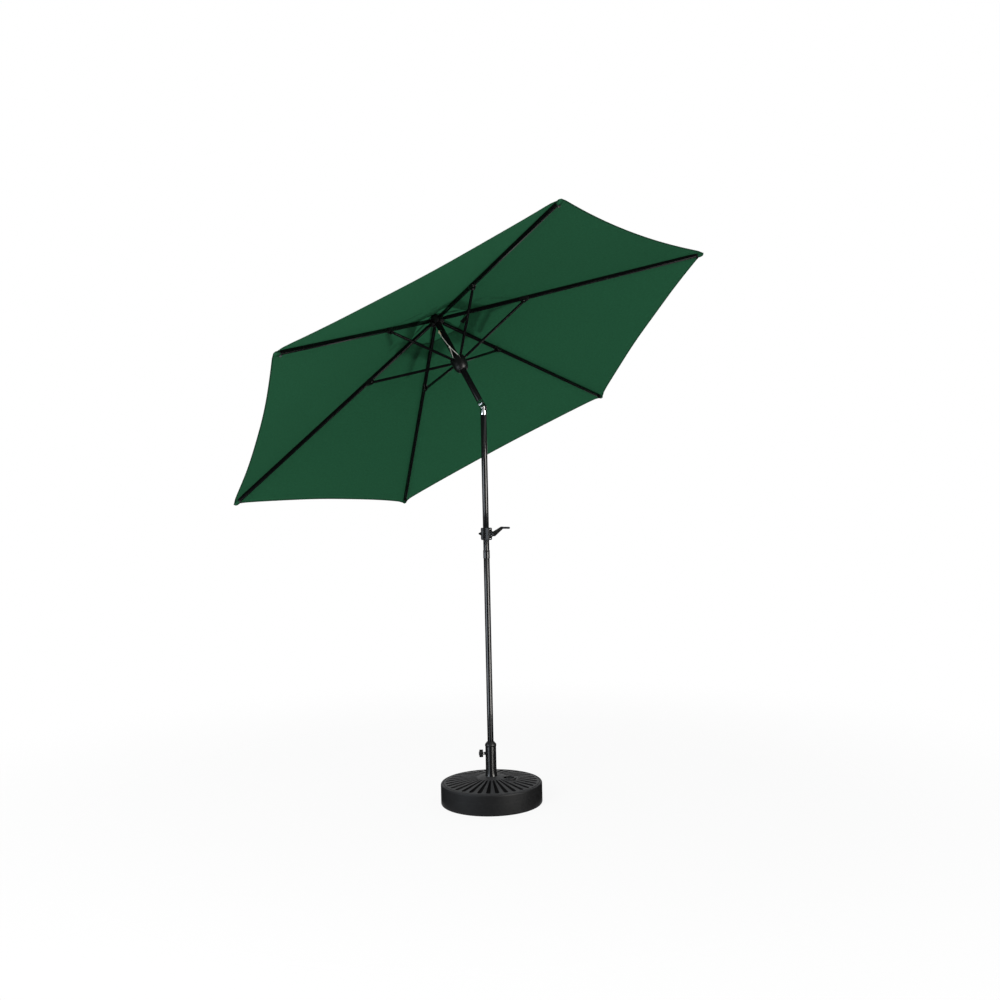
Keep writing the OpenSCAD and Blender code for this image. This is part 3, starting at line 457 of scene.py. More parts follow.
def round_edges(bm, edges, width, segments):
    bmesh.ops.bevel(bm, geom=edges, offset=width, offset_type="OFFSET", segments=segments,
                    profile=0.5, affect="EDGES", clamp_overlap=True, material=-1)


def soften(node, width, segments=2):
    """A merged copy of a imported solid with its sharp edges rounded."""
    bm = bmesh.new()
    bm.from_mesh(frame["nodes"][node].data)
    bmesh.ops.remove_doubles(bm, verts=bm.verts, dist=2e-6)
    bmesh.ops.dissolve_limit(bm, angle_limit=math.radians(0.6), verts=bm.verts, edges=bm.edges)
    sharp = [e for e in bm.edges if len(e.link_faces) == 2
             and abs(e.calc_face_angle_signed(0)) > math.radians(32)]
    if sharp and width > 0:
        round_edges(bm, sharp, width, segments)
    return bm


def thicken(bm):
    """Extrudes every face, and gives the new vertices to be moved."""
    grown = bmesh.ops.extrude_face_region(bm, geom=bm.faces[:])["geom"]
    return [g for g in grown if isinstance(g, bmesh.types.BMVert)]


def join(target, *others):
    """The others' faces added to the first bmesh."""
    for other in others:
        mesh = bpy.data.meshes.new("part")
        other.to_mesh(mesh)
        other.free()
        target.from_mesh(mesh)
        bpy.data.meshes.remove(mesh)
    return target


def add_object(name, bm):
    """An object in the scene that takes a bmesh's faces."""
    mesh = bpy.data.meshes.new(name)
    bm.to_mesh(mesh)
    bm.free()
    made = bpy.data.objects.new(name, mesh)
    bpy.context.scene.collection.objects.link(made)
    return made


def add_piece(name, bm, body, slot, nodes=(), smooth=38):
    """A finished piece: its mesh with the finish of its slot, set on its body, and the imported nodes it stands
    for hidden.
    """
    for face in bm.faces:
        face.smooth = True
    for edge in bm.edges:
        if len(edge.link_faces) == 2 and edge.calc_face_angle(0) > math.radians(smooth):
            edge.smooth = False
    piece = add_object(name, bm)
    piece.data.materials.append(finish(slot))
    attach(piece, body)
    if nodes:
        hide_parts(*nodes)
    return piece


def add_turned(name, profile, body, slot, node, steps=40, closed=False, place=None, smooth=50):
    """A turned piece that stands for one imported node."""
    add_piece(name, lathe(profile, steps, closed, place), body, slot, [node], smooth)


def add_softened(name, node, body, slot, edge=0.0, segments=2):
    """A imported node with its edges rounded, by a multiple of the usual rounding."""
    add_piece(name, soften(node, edge * sizes().bevel, segments), body, slot, [node])


def quarter_turn(x, y, z, axis, sign=1):
    """A frame at a point in mm, turned a quarter about an axis."""
    return (Matrix.Translation((x * MM, y * MM, z * MM))
            @ Matrix.Rotation(sign * math.pi / 2, 4, axis))


def tube_profile(r_out, r_in, z0, z1, edge):
    """A tube's closed profile with rounded lips."""
    return [(r_in, z0 + edge), (r_in + edge, z0), (r_out - edge, z0), (r_out, z0 + edge),
            (r_out, z1 - edge), (r_out - edge, z1), (r_in + edge, z1), (r_in, z1 - edge)]


def arc(cx, cz, r, a0, a1, n):
    """Points of an arc in a profile, from one angle to another in degrees."""
    return [(cx + r * math.cos(math.radians(a0 + (a1 - a0) * i / n)),
             cz + r * math.sin(math.radians(a0 + (a1 - a0) * i / n))) for i in range(n + 1)]


def swept(rings, caps=(True, True)):
    """A skin through rings of points, with a UV map in metres along and turns round it."""
    bm = bmesh.new()
    along = bm.verts.layers.float.new("along")
    side = bm.verts.layers.int.new("side")
    count = len(rings[0])
    circle = bmesh.ops.create_circle(bm, cap_ends=False, segments=count, radius=1.0)
    for i, v in enumerate(circle["verts"]):
        v[side], v.co = i, rings[0][i]
    first = loop = bm.edges[:]
    run = 0.0
    for before, ring in zip(rings, rings[1:]):
        run += (sum(ring, Vector()) - sum(before, Vector())).length / count
        grown = bmesh.ops.extrude_edge_only(bm, edges=loop)["geom"]
        fresh = {g for g in grown if isinstance(g, bmesh.types.BMVert)}
        loop = [g for g in grown if isinstance(g, bmesh.types.BMEdge)
                and all(v in fresh for v in g.verts)]
        for v in fresh:
            v.co, v[along] = ring[v[side]], run
    for cap, ends in zip(caps, (first, loop)):
        if cap:
            bmesh.ops.contextual_create(bm, geom=ends)
    bmesh.ops.recalc_face_normals(bm, faces=bm.faces)
    uv = bm.loops.layers.uv.new("UVMap")
    for face in bm.faces:
        places = [corner.vert[side] for corner in face.loops]
        wrap = max(places) - min(places) > count / 2
        for corner in face.loops:
            place = corner.vert[side]
            if wrap and place < count / 2:
                place += count
            corner[uv].uv = (corner.vert[along], place / count)
    return bm


def section(x, half, low, high, sides=24):
    """A rounded oblong across a rib, at x mm along it."""
    ring = []
    for i in range(sides):
        c, s = math.cos(2 * math.pi * i / sides), math.sin(2 * math.pi * i / sides)
        ring.append(Vector((x, half * math.copysign(abs(c) ** 0.5, c),
                            (low + high) / 2 + (high - low) / 2
                            * math.copysign(abs(s) ** 0.5, s))) * MM)
    return ring


# --------------------------------------------------------------------------
# Base

BASE_R = 216
RIM_Z = 90
CONE_R = 202.5
STAND_R = 23
CROWN = 26
SMOOTH_R = 62
GROOVES = 32
GROOVE_SHARE = 0.45
GROOVE_END = CONE_R - 6
FILLER_R = 78
FILLER_AZ = math.radians(22)
BOSS_R = 30
# Distances of the crown's rings of vertices from the middle, close where grooves end
CROWN_RINGS = (200, 198, 196.9, 196.5, 196.2, 195.5, 194.3, 192.5, 190, 187.5, 180, 165, 150,
               135, 125, 119, 117, 115.2, 114.3, 113.8, 105, 90, 78, 70, 66, 64.6, 63.3, 62.5,
               62.1, 61.8, 60, 50, 38, 27)
CLAMP_Z = 211
CLAMP_AZ = math.radians(218)


def top_z(r):
    return RIM_Z + CROWN * (CONE_R - r) / (CONE_R - STAND_R)


BOSS_Z = top_z(FILLER_R) + 3


def filler_place():
    return Matrix.Rotation(FILLER_AZ, 4, "Z") @ Matrix.Translation((FILLER_R * MM, 0, 0))


def groove_half(r, start):
    """Half the width of a round-ended groove at a distance from the middle, in mm."""
    w0, w1 = (GROOVE_SHARE * math.pi * at / GROOVES for at in (start, GROOVE_END))
    first, last = start + w0, GROOVE_END - w1
    if r < first:
        return math.sqrt(max(0.0, w0 * w0 - (first - r) ** 2))
    if r > last:
        return math.sqrt(max(0.0, w1 * w1 - (r - last) ** 2))
    return w0 + (w1 - w0) * (r - first) / (last - first)


def cut_grooves(bm):
    """Moves the crown's vertices to make tapering radial grooves with crisp sides."""
    pitch = 2 * math.pi / GROOVES
    depth = sizes().groove
    for v in bm.verts:
        r = math.hypot(v.co.x, v.co.y) / MM
        if v.co.z < (RIM_Z - 8) * MM or not SMOOTH_R - 1 < r < CONE_R - 4:
            continue
        az = math.atan2(v.co.y, v.co.x)
        index = round(az / pitch)
        off = (index * pitch - FILLER_AZ + math.pi) % (2 * math.pi) - math.pi
        start = FILLER_R + BOSS_R + 6 if abs(off) < math.radians(27) else SMOOTH_R
        u = az / pitch - index
        wide = groove_half(r, start)
        half = wide / r / pitch
        wall = min(0.8, 0.3 * wide + 0.2) / r / pitch
        side, share = math.copysign(1, u), abs(u)
        marks = ((0.0, 0.0), (0.14, max(0.01, half - wall)), (0.30, max(0.03, half + wall)),
                 (0.5, 0.5))
        for (a, x), (b, y) in zip(marks, marks[1:]):
            if a <= share <= b:
                moved = x + (y - x) * (share - a) / (b - a)
                break
        floor = min(1.0, max(0.0, (half + wall - moved) / (2 * wall))) * min(1.0, wide / 1.6)
        floor = floor * floor * (3 - 2 * floor)
        angle = index * pitch + side * moved * pitch
        v.co.x, v.co.y = r * MM * math.cos(angle), r * MM * math.sin(angle)
        v.co.z -= depth * floor


class UMBRELLA_OT_base(bpy.types.Operator):
    """Moulds the round tank with its grooved top, filler ring and cap"""

    bl_idname = "umbrella.base"
    bl_label = "Base"

    def execute(self, context):
        bm = lathe(
            [(0, 0.6), (8, 0), (204, 0)] + arc(209, 7, 7, -80, 0, 6)
            + [(BASE_R, 8), (BASE_R, 51), (BASE_R, 52), (BASE_R - 0.25, 52.3),
               (BASE_R - 0.25, 52.6), (BASE_R, 52.9), (BASE_R, 54), (BASE_R, 81)]
            + arc(208, 82, 8, 0, 84, 8) + [(208, RIM_Z)]
            + arc(205.5, RIM_Z, 2.1, 0, -180, 8)[1:-1] + [(203.2, RIM_Z), (202.4, 90.02)]
            + [(r, top_z(r)) for r in CROWN_RINGS]
            + [(23.6, top_z(23.6)), (23.1, top_z(24) - 0.6), (23.1, 8), (0, 8)], GROOVES * 20)
        cut_grooves(bm)
        tank = add_object("tank", bm)
        cutter = add_object("cutter", lathe([(0, 82), (28.4, 82), (28.4, 130), (0, 130)],
                                            place=filler_place()))
        cut = tank.modifiers.new("filler", "BOOLEAN")
        cut.operation, cut.object, cut.solver = "DIFFERENCE", cutter, "EXACT"
        bm = bmesh.new()
        bm.from_mesh(bpy.data.meshes.new_from_object(
            tank.evaluated_get(context.evaluated_depsgraph_get())))
        for spare in (tank, cutter):
            bpy.data.objects.remove(spare)
        ledge = BOSS_Z - 10
        ring = lathe(
            [(18, ledge - 16), (22, ledge - 17), (29.6, ledge - 17)]
            + arc(28.4, BOSS_Z - 1.6, 1.6, 0, 90, 5) + arc(24.2, BOSS_Z - 1.6, 1.6, 90, 180, 5)
            + [(22.4, ledge + 0.5), (21.8, ledge), (18.6, ledge), (18, ledge - 0.6)],
            72, True, filler_place())
        add_piece("base_tank_shell", join(bm, ring), "base", "tank_plastic", ["base_tank"], 40)

        cap = lathe(
            [(0, ledge - 12), (16.6, ledge - 12), (17.8, ledge - 10.8), (17.8, ledge),
             (21.4, ledge), (22, ledge + 0.6), (22, ledge + 2.9), (21.3, ledge + 3.5),
             (14.5, ledge + 3.5), (13.8, ledge + 2.6), (0, ledge + 2.6)], place=filler_place())
        grip = bmesh.new()
        bmesh.ops.create_cube(grip, size=1.0, matrix=filler_place()
                              @ Matrix.Translation((0, 0, (ledge + 5.2) * MM))
                              @ Matrix.Diagonal((24 * MM, 4 * MM, 5.6 * MM, 1)))
        round_edges(grip, grip.edges[:], 1.2 * MM, 3)
        add_piece("filler_cap_moulded", join(cap, grip), "filler_cap", "fitting_black",
                  ["filler_cap"], 40)
        return {"FINISHED"}


# --------------------------------------------------------------------------
# Stand tube and clamp


def clamp_place():
    """The clamp's frame: +Z along the screw, away from the pole."""
    return (Matrix.Translation((0, 0, CLAMP_Z * MM)) @ Matrix.Rotation(CLAMP_AZ, 4, "Z")
            @ Matrix.Rotation(math.pi / 2, 4, "Y"))


class UMBRELLA_OT_stand(bpy.types.Operator):
    """Makes the stand tube with its flared foot, the collar and the clamp knob"""

    bl_idname = "umbrella.stand"
    bl_label = "Stand tube and clamp"

    def execute(self, context):
        foot = top_z(STAND_R) + 0.1
        flare = [(STAND_R + 2.5 * (1 - t) ** 2, foot + 36 * t)
                 for t in (0, 0.1, 0.2, 0.35, 0.5, 0.7, 1)]
        tube = lathe([(21.5, 8), (23, 8), (23, foot - 0.1), (24.6, foot)] + flare
                     + [(23, 249.5), (22.6, 250), (21.9, 250), (21.5, 249.5)], 72, True)
        boss = lathe([(0, 21.7), (7, 21.7), (7, 27.2), (6.2, 28), (0, 28)], 40,
                     place=clamp_place())
        add_piece("stand_tube", join(tube, boss), "base", "black_steel", ["base_tube"])
        add_turned("collar", [
            (13.3, 184.6), (13.8, 184), (20.8, 184), (21.4, 184.6), (21.4, 249.6),
            (23.1, 249.6), (23.1, 242.4), (23.5, 242), (24, 242.5), (24, 249.6),
            (23.6, 251.4), (22.6, 252.6), (15.6, 261.2), (14.6, 262), (13.9, 262),
            (13.3, 261.4)], "base", "black_plastic", "tube_collar", 72, True)

        knob = bmesh.new()
        bmesh.ops.create_circle(knob, cap_ends=True, segments=96, radius=1.0)
        for v in knob.verts:
            a = math.atan2(v.co.y, v.co.x)
            r = 15.3 + 1.2 * math.cos(6 * a) - 0.35 * math.cos(12 * a)
            v.co = Vector((r * MM * math.cos(a), r * MM * math.sin(a), 33 * MM))
        bmesh.ops.translate(knob, verts=thicken(knob), vec=(0, 0, 16 * MM))
        round_edges(knob, [e for e in knob.edges
                           if abs(e.verts[0].co.z - e.verts[1].co.z) < 1e-6], 2.2 * MM, 4)
        bmesh.ops.recalc_face_normals(knob, faces=knob.faces)
        bmesh.ops.transform(knob, matrix=clamp_place(), verts=knob.verts)
        hub = lathe([(0, 48), (8.2, 48), (8.2, 50.2), (7.4, 51), (4.6, 51), (4.2, 50.4),
                     (0, 50.4)], 40, place=clamp_place())
        add_piece("knob", join(knob, hub), "clamp_knob", "black_plastic", ["clamp_knob"], 50)
        add_turned("knob_screw", [(0, 14.9), (2, 14.9), (2, 16.4), (3.6, 16.4), (4, 16.9)]
                   + [(4 - 0.35 * (i % 2), 17.2 + 0.5 * i) for i in range(23)]
                   + [(4, 29), (6.1, 29), (6.5, 29.4), (6.5, 32.6), (6.1, 33), (4, 33),
                      (4, 44), (0, 44)],
                   "clamp_knob", "bright_metal", "clamp_screw", place=clamp_place())
        return {"FINISHED"}


# --------------------------------------------------------------------------
# Pole, crank and tilt joint

POLE_R = 13
CRANK_Z = 1147
TILT_Z = 1683
JOINT_Z = 1060


class UMBRELLA_OT_pole(bpy.types.Operator):
    """Draws the two lengths of the pole and the ferrule over their joint"""

    bl_idname = "umbrella.pole"
    bl_label = "Pole"

    def execute(self, context):
        wall, edge = 11.8, 0.4
        add_turned("pole_lower", [
            (wall, 12.8), (wall + edge, 12.3), (POLE_R - edge, 12.3), (POLE_R, 12.8),
            (POLE_R, JOINT_Z - 0.6), (POLE_R - 0.6, JOINT_Z), (11.9, JOINT_Z),
            (11.7, JOINT_Z + 0.6), (11.7, JOINT_Z + 59), (11.2, JOINT_Z + 60),
            (10.8, JOINT_Z + 60), (10.4, JOINT_Z + 59.4), (10.4, JOINT_Z - 6),
            (wall, JOINT_Z - 9)], "pole", "black_steel", "lower_pole", 72, True)
        add_turned("pole_upper", tube_profile(POLE_R, wall, JOINT_Z + 0.3, TILT_Z - 31, edge),
                   "pole", "black_steel", "upper_pole", 72, True)
        z0, z1 = JOINT_Z - 17, JOINT_Z + 17
        add_turned("pole_joint_ferrule", [(13.1, z0), (13.9, z0)]
                   + arc(13.6, z0 + 0.9, 0.85, -60, 0, 3)
                   + [(14.45, z0 + 3), (14.15, z0 + 4), (14.15, z1 - 4), (14.45, z1 - 3)]
                   + arc(13.6, z1 - 0.9, 0.85, 0, 60, 3) + [(13.9, z1), (13.1, z1)],
                   "pole", "black_steel", "pole_ferrule", 72, True)
        return {"FINISHED"}


class UMBRELLA_OT_crank(bpy.types.Operator):
    """Makes the crank housing, its screws, the arm and the turning grip"""

    bl_idname = "umbrella.crank"
    bl_label = "Crank"

    def execute(self, context):
        for node in ("housing_front", "housing_rear"):
            add_softened(f"{node}_cover", node, "pole", "black_plastic", 1.6, 3)
        add_turned("crank_ferrule_ring", [
            (4.1, 33.4), (7.9, 33.4), (8.5, 34), (8.5, 34.8), (8, 35.2), (8, 35.6), (8.5, 36),
            (8.5, 36.6), (7.9, 37.1), (4.1, 37.1)], "crank", "bright_metal", "crank_ferrule",
            56, True, quarter_turn(0, 0, CRANK_Z, "Y"))
        add_softened("crank_arm_moulded", "crank_arm", "crank", "black_plastic", 1.8, 3)

        pin = joint_point("grip_turn") / MM
        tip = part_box("crank_grip")[1].x / MM
        root = tip - 36
        body = [(0, root - 8), (1.6, root - 8), (1.94, root - 7.5), (1.94, root), (3.9, root),
                (4.5, root + 0.6)]
        for i in range(5):
            z = root + 5 + i * 5
            body += [(4.5, z), (4.15, z + 0.5), (4.15, z + 1.1), (4.5, z + 1.6)]
        body += arc(0, tip - 4.5, 4.5, 0, 90, 7)[:-1] + [(0, tip)]
        add_turned("crank_grip_turned", body, "crank_grip", "black_plastic", "crank_grip",
                   place=quarter_turn(0, pin.y, pin.z, "Y"))
        screws = [lathe([(0, POLE_R + 0.4), (1.6, POLE_R + 0.4), (1.6, reach - 1.9),
                         (3.4, reach - 1.9), (3.4, reach + 0.2), (2.9, reach + 0.8),
                         (1.5, reach + 1), (1.3, reach - 0.1), (0, reach - 0.1)], 32,
                        place=quarter_turn(0, 0, CRANK_Z + z, "Y", side))
                  for side, reach in ((1, 24), (-1, 20)) for z in (-19.5, 19.5)]
        add_piece("housing_screw_set", join(*screws), "pole", "bright_metal",
                  ["housing_screws"], 50)
        return {"FINISHED"}


class UMBRELLA_OT_tilt_joint(bpy.types.Operator):
    """Makes the two plated knuckles, their rivets and the release button"""

    bl_idname = "umbrella.tilt_joint"
    bl_label = "Tilt joint"

    def execute(self, context):
        add_softened("knuckle_lower", "lower_knuckle", "pole", "bright_metal", 1.4, 3)
        add_softened("knuckle_upper", "upper_knuckle", "mast", "bright_metal", 1.2, 3)
        rivets = [lathe([(0, 3.3), (3, 3.3), (3, 13.3), (5, 13.4), (5, 14.0), (4.4, 14.9),
                         (3, 15.3), (0, 15.35)], 40, place=quarter_turn(0, 0, TILT_Z, "X", -side))
                  for side in (-1, 1)]
        add_piece("tilt_rivet_pair", join(*rivets), "pole", "bright_metal", ["tilt_rivets"], 50)
        low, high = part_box("tilt_button")
        x0, x1 = -high.x / MM, -low.x / MM
        add_turned("tilt_button_cap", [(0, x0), (3.7, x0), (4, x0 + 0.3), (4, x1 - 1),
                                       (3.4, x1 - 0.2), (2, x1), (0, x1)],
                   "tilt_button", "bright_metal", "tilt_button",
                   place=quarter_turn(0, 0, (low.z + high.z) / 2 / MM, "Y", -1))
        return {"FINISHED"}


# --------------------------------------------------------------------------
# Mast, hub and runner

CAP_Z = 28
FINIAL_H = 48


class UMBRELLA_OT_mast(bpy.types.Operator):
    """Makes the mast tube, the lobed hub on its top and the finial"""

    bl_idname = "umbrella.mast"
    bl_label = "Mast and hub"

    def execute(self, context):
        add_softened("mast_drawn_tube", "mast_tube", "mast", "mast_steel", 0.5)
        add_softened("hub_moulded", "top_hub", "mast", "black_plastic", 1.6, 3)
        seat, top = CAP_Z + 2.1, CAP_Z + FINIAL_H
        add_turned("finial_turned", [(5.1, seat), (17.4, seat)]
                   + arc(17, seat + 1.6, 1.3, -70, 60, 4)
                   + [(16.2, seat + 3.6), (12.4, seat + 8), (9.6, seat + 11.5), (9, seat + 14)]
                   + arc(0, top - 14, 14, -48, 86, 14)
                   + [(0.4, top), (0.4, top - 20), (5.1, top - 20)],
                   "mast", "black_plastic", "finial", 64, True,
                   MAST @ Matrix.Translation((0, 0, HUB_L)), 55)
        for node in ("hub_ring", "pulley_axle"):
            add_softened(f"{node}_wire", node, "mast", "bright_metal")
        add_softened("pulley_wheel", "cord_pulley", "cord_pulley", "pad_plastic", 0.4)
        return {"FINISHED"}


class UMBRELLA_OT_runner(bpy.types.Operator):
    """Makes the runner that slides on the mast, with its wire ring"""

    bl_idname = "umbrella.runner"
    bl_label = "Runner"

    def execute(self, context):
        add_softened("runner_moulded", "runner", "runner", "black_plastic", 1.6, 3)
        add_softened("runner_wire_ring", "runner_ring", "runner", "bright_metal")
        return {"FINISHED"}


# --------------------------------------------------------------------------
# Ribs and struts


class UMBRELLA_OT_ribs(bpy.types.Operator):
    """Makes the six ribs with their end plugs and brackets, and the six struts"""

    bl_idname = "umbrella.ribs"
    bl_label = "Ribs and struts"

    def execute(self, context):
        for k in range(1, RIB_COUNT + 1):
            rib, strut = f"rib_{k}", f"strut_{k}"
            add_softened(f"{rib}_tube", rib, rib, "mast_steel", 0.5)
            add_softened(f"{rib}_bracket", f"{rib}_fittings", rib, "fitting_black", 0.8)
            add_softened(f"{strut}_tube", strut, strut, "mast_steel", 0.5)
            heads = [lathe([(0, 8.6), (4.2, 8.6), (4.2, 9.2), (3.6, 10.0), (2, 10.5), (0, 10.6)],
                           28, place=rib_frame(k) @ quarter_turn(366, 0, -13.1, "X", -side))
                     for side in (-1, 1)]
            add_piece(f"{rib}_rivet_heads", join(*heads), rib, "black_steel", (), 60)
        return {"FINISHED"}


# --------------------------------------------------------------------------
# Cloth

RIB_W = 11
RIB_H = 15
CLOTH_UP = RIB_H / 2 + RIB_W / 2 * math.tan(DROOP) * math.tan(STEP / 2) + 0.6
CLOTH_LEN = 1157
VENT_R = 134
HEM_DRAW = 32
CAP_R = 232
CAP_BOW = 18
CAP_DRAW = 0.06
CAP_FLAT_R = 19
CAP_HOLE_R = 6
CAP_HEM = 12 / 210
CAP_LIFT = 0.3
CLOTH_LIFT = 0.35
# Sections of a corner pocket and of its clip, in mm: the place along the rib, then half the
# width, the bottom and the top
POCKET = ((1131, 7.4, -9.4, 8.0), (1133, 7.8, -9.8, 8.3), (1140, 7.8, -9.6, 8.2),
          (1147, 7.4, -8.6, 7.6), (1152, 6.4, -6.4, 6.0), (1155, 4.6, -3.4, 3.6),
          (1156.4, 2.4, -1.4, 1.6))
CLIP = ((1124.4, 6.4, -12.0, 7.4), (1125, 7.0, -14.6, 7.6), (1129.4, 7.0, -15.4, 7.6),
        (1130, 6.4, -13.4, 7.4))


def cloth_line(a, az):
    """A point of a rib's cloth line on the mast's frame, a way along the rib, in mm."""
    r = RING_R / MM + a * math.cos(DROOP) + CLOTH_UP * math.sin(DROOP)
    z = HUB_L / MM - a * math.sin(DROOP) + CLOTH_UP * math.cos(DROOP)
    return about(r, az, z)


def cloth_height(r):
    return (HUB_L - (r * MM - RING_R) * math.tan(DROOP)) / MM + CLOTH_UP / math.cos(DROOP)


# Soft folds in the slack cloth: panel, one end and the other (way from the vent to the
# hem, way across the panel), half width and depth in mm
FOLDS = (
    (1, (0.11, 0.17), (0.11, 0.76), 17, 8.0), (1, (0.06, 0.20), (0.07, 0.68), 13, 5.0),
    (1, (0.20, 0.05), (0.13, 0.15), 15, 6.0),
    (3, (-0.04, 0.62), (0.07, 0.47), 24, 9.0), (3, (0.07, 0.47), (0.19, 0.38), 19, 6.0),
    (3, (-0.04, 0.24), (0.02, 0.41), 15, 6.0),
    (2, (0.02, 0.20), (0.12, 0.28), 15, 2.5), (2, (0.02, 0.80), (0.12, 0.66), 15, 3.0),
    (4, (0.24, 0.91), (0.17, 0.58), 13, 6.0), (4, (0.02, 0.30), (0.16, 0.42), 15, 2.5),
    (5, (0.02, 0.50), (0.13, 0.56), 15, 2.5), (5, (0.22, 0.05), (0.17, 0.34), 13, 2.5),
    (6, (0.02, 0.62), (0.14, 0.50), 15, 2.5), (6, (0.21, 0.95), (0.17, 0.66), 13, 2.5),
)
FLAT_START = (VENT_R - RING_R / MM) / math.cos(DROOP)


def flat_place(s, w):
    """A place on a panel laid flat, in mm: across from its middle, and out from its point."""
    out = FLAT_START + (CLOTH_LEN - FLAT_START) * s
    wide = (cloth_line(out, 0) - cloth_line(out, STEP)).length
    return Vector(((w - 0.5) * wide, out))


def folds_at(k, s, w):
    """How far the cloth dips in a panel's soft folds, in mm, and how much painted shade its folds get there, which
    also makes the cloth there less translucent.
    """
    here = flat_place(s, w)
    dip, pleat_shade = 0.0, 0.0
    for panel, start, end, half, depth in FOLDS:
        if panel != k:
            continue
        a, b = flat_place(*start), flat_place(*end)
        t = min(1.0, max(0.0, (here - a).dot(b - a) / (b - a).length_squared))
        off = (here - a.lerp(b, t)).length / half
        crease = math.exp(-off * off)
        dip += depth * crease
        # painted shade in the folds, deepest along their creases
        pleat_shade += depth / 12 * crease
    wave = 0.8 * math.sin(5.1 * w * math.pi + 1.7 * k) * math.sin(7.3 * s + 0.9 * k)
    return (dip + wave) * min(1.0, 10 * w * (1 - w)), min(1.0, pleat_shade)


def panel_point(k, s, w):
    """A point of panel k on the mast's frame, in mm: s from the vent to the hem, w across it."""
    az = rib_az(k)
    out = FLAT_START + (CLOTH_LEN - FLAT_START) * s
    p, q = cloth_line(out, az), cloth_line(out, az + STEP)
    bow = 4 * w * (1 - w)
    middle = Vector((math.cos(az + STEP / 2), math.sin(az + STEP / 2), 0))
    corner = math.hypot(CLOTH_LEN - out, min(w, 1 - w) * (q - p).length) / 26
    down = folds_at(k, s, w)[0] + 7 * math.exp(-corner * corner)
    return p + (q - p) * w - middle * HEM_DRAW * bow * s * s - Vector((0, 0, down))


def sheet_piece(name, point, extras, na, nb, thickness, body, loop=False):
    """A thin closed sheet of cloth. point(i, j) is a point on the mast's frame in mm, and
    extras(i, j) gives its (u, v) in metres, doubled, stitches, stitch_run, pleat and thin."""
    bm = bmesh.new()
    bmesh.ops.create_grid(bm, x_segments=nb - 1, y_segments=na - 1, size=1.0)
    ident = bm.verts.layers.int.new("ident")
    layers = [bm.verts.layers.float.new(n) for n in
              ("doubled", "stitches", "stitch_run", "pleat_shade", "thin")]
    bm.verts.ensure_lookup_table()
    facts = {}
    for i in range(na):
        for j in range(nb):
            v = bm.verts[i * nb + j]
            v[ident] = i * nb + j
            facts[i * nb + j] = extras(i, j)
            v.co = MAST @ (point(i, j) * MM)
            for layer, value in zip(layers, facts[i * nb + j][1:]):
                v[layer] = value
    uv = bm.loops.layers.uv.new("UVMap")
    for face in bm.faces:
        for corner in face.loops:
            corner[uv].uv = facts[corner.vert[ident]][0]
    if loop:
        bmesh.ops.remove_doubles(bm, verts=bm.verts, dist=1e-7)
    flat_area = sum(face.calc_area() for face in bm.faces)
    for v in thicken(bm):
        extra = 0.5 * v[layers[0]] * thickness
        v.co += MAST_WAY * (thickness + extra)
    bmesh.ops.recalc_face_normals(bm, faces=bm.faces)
    return add_piece(name, bm, body, "cloth", (), 50), flat_area


def spread(width, edge_steps, count):
    """Places across half a panel, from its seam: close steps at the seam and at its middle."""
    near = [d / width for d in edge_steps if d < 0.5 * width]
    rest = [near[-1] + (0.994 - near[-1]) * i / count for i in range(1, count + 1)]
    return near + rest + [1.0]


def canopy_sector(k):
    """The cloth over rib k, from the middle of one panel to the middle of the next."""
    hem, seam = sizes().hem / MM, sizes().seam / MM
    length = CLOTH_LEN - FLAT_START
    near, far = 0.32 * length, length - hem - 1
    rows = ([0.0, 1.5, hem] + [hem + 1 + (near - hem - 1) * i / 44 for i in range(45)]
            + [near + (far - near) * i / 26 for i in range(1, 27)]
            + [length - hem, length - 1.5, length])
    rows = [row / length for row in rows]
    outs = [FLAT_START + length * s for s in rows]
    halves = [(cloth_line(out, 0) - cloth_line(out, STEP)).length / 2 for out in outs]
    shares = [spread(half, (0.0, seam - 0.5, seam, seam + 0.8), 18) for half in halves]
    n = len(shares[0]) - 1
    before = (k - 2) % RIB_COUNT + 1

    def across(i, j):
        """How far column j is from the seam in row i, its panel and its place across that."""
        t = math.copysign(shares[i][abs(j - n)], j - n)
        return (t * halves[i], *((k, t / 2) if t >= 0 else (before, 1 + t / 2)))

    def point(i, j):
        panel, w = across(i, j)[1:]
        return panel_point(panel, rows[i], w) + Vector((0, 0, CLOTH_LIFT))

    def extras(i, j):
        off, panel, w = across(i, j)
        to_hem = length * min(rows[i], 1 - rows[i])
        on_hem, on_seam = abs(to_hem - hem) < 0.6, abs(abs(off) - seam) < 0.05
        doubled = float(to_hem <= hem + 0.01 or abs(off) <= seam + 0.01)
        run = off if on_hem else length * rows[i]
        return ((off * MM, outs[i] * MM), doubled, float(on_hem or on_seam), run * MM,
                folds_at(panel, rows[i], w)[1], 0.0)

    piece, area = sheet_piece(f"canopy_sector_{k}", point, extras, len(rows), 2 * n + 1,
                              sizes().cloth, f"rib_{k}")
    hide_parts("canopy")
    joint = fold_joint(k)
    tuple(joint_axis(joint))
    tuple(joint_point(joint))
    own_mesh(piece)


def cap_point(s, turn):
    """A point of the vent cap on the mast's frame, in mm: s from the hub to the hem."""
    w = (turn % STEP) / STEP
    bow = 4 * w * (1 - w)
    corner = math.cos(STEP / 2) / math.cos((w - 0.5) * STEP)
    fall = max(s, 0.0)
    reach = CAP_R * (corner - CAP_DRAW * bow) - CAP_FLAT_R
    r = CAP_HOLE_R if s < 0 else CAP_FLAT_R + reach * s
    low = cloth_height(CAP_R) + 1.5 + CAP_LIFT
    high = HUB_L / MM + CAP_Z + CAP_LIFT
    return about(r, FIRST_AZ + turn, high + (low - high) * fall + CAP_BOW * bow * fall * fall)


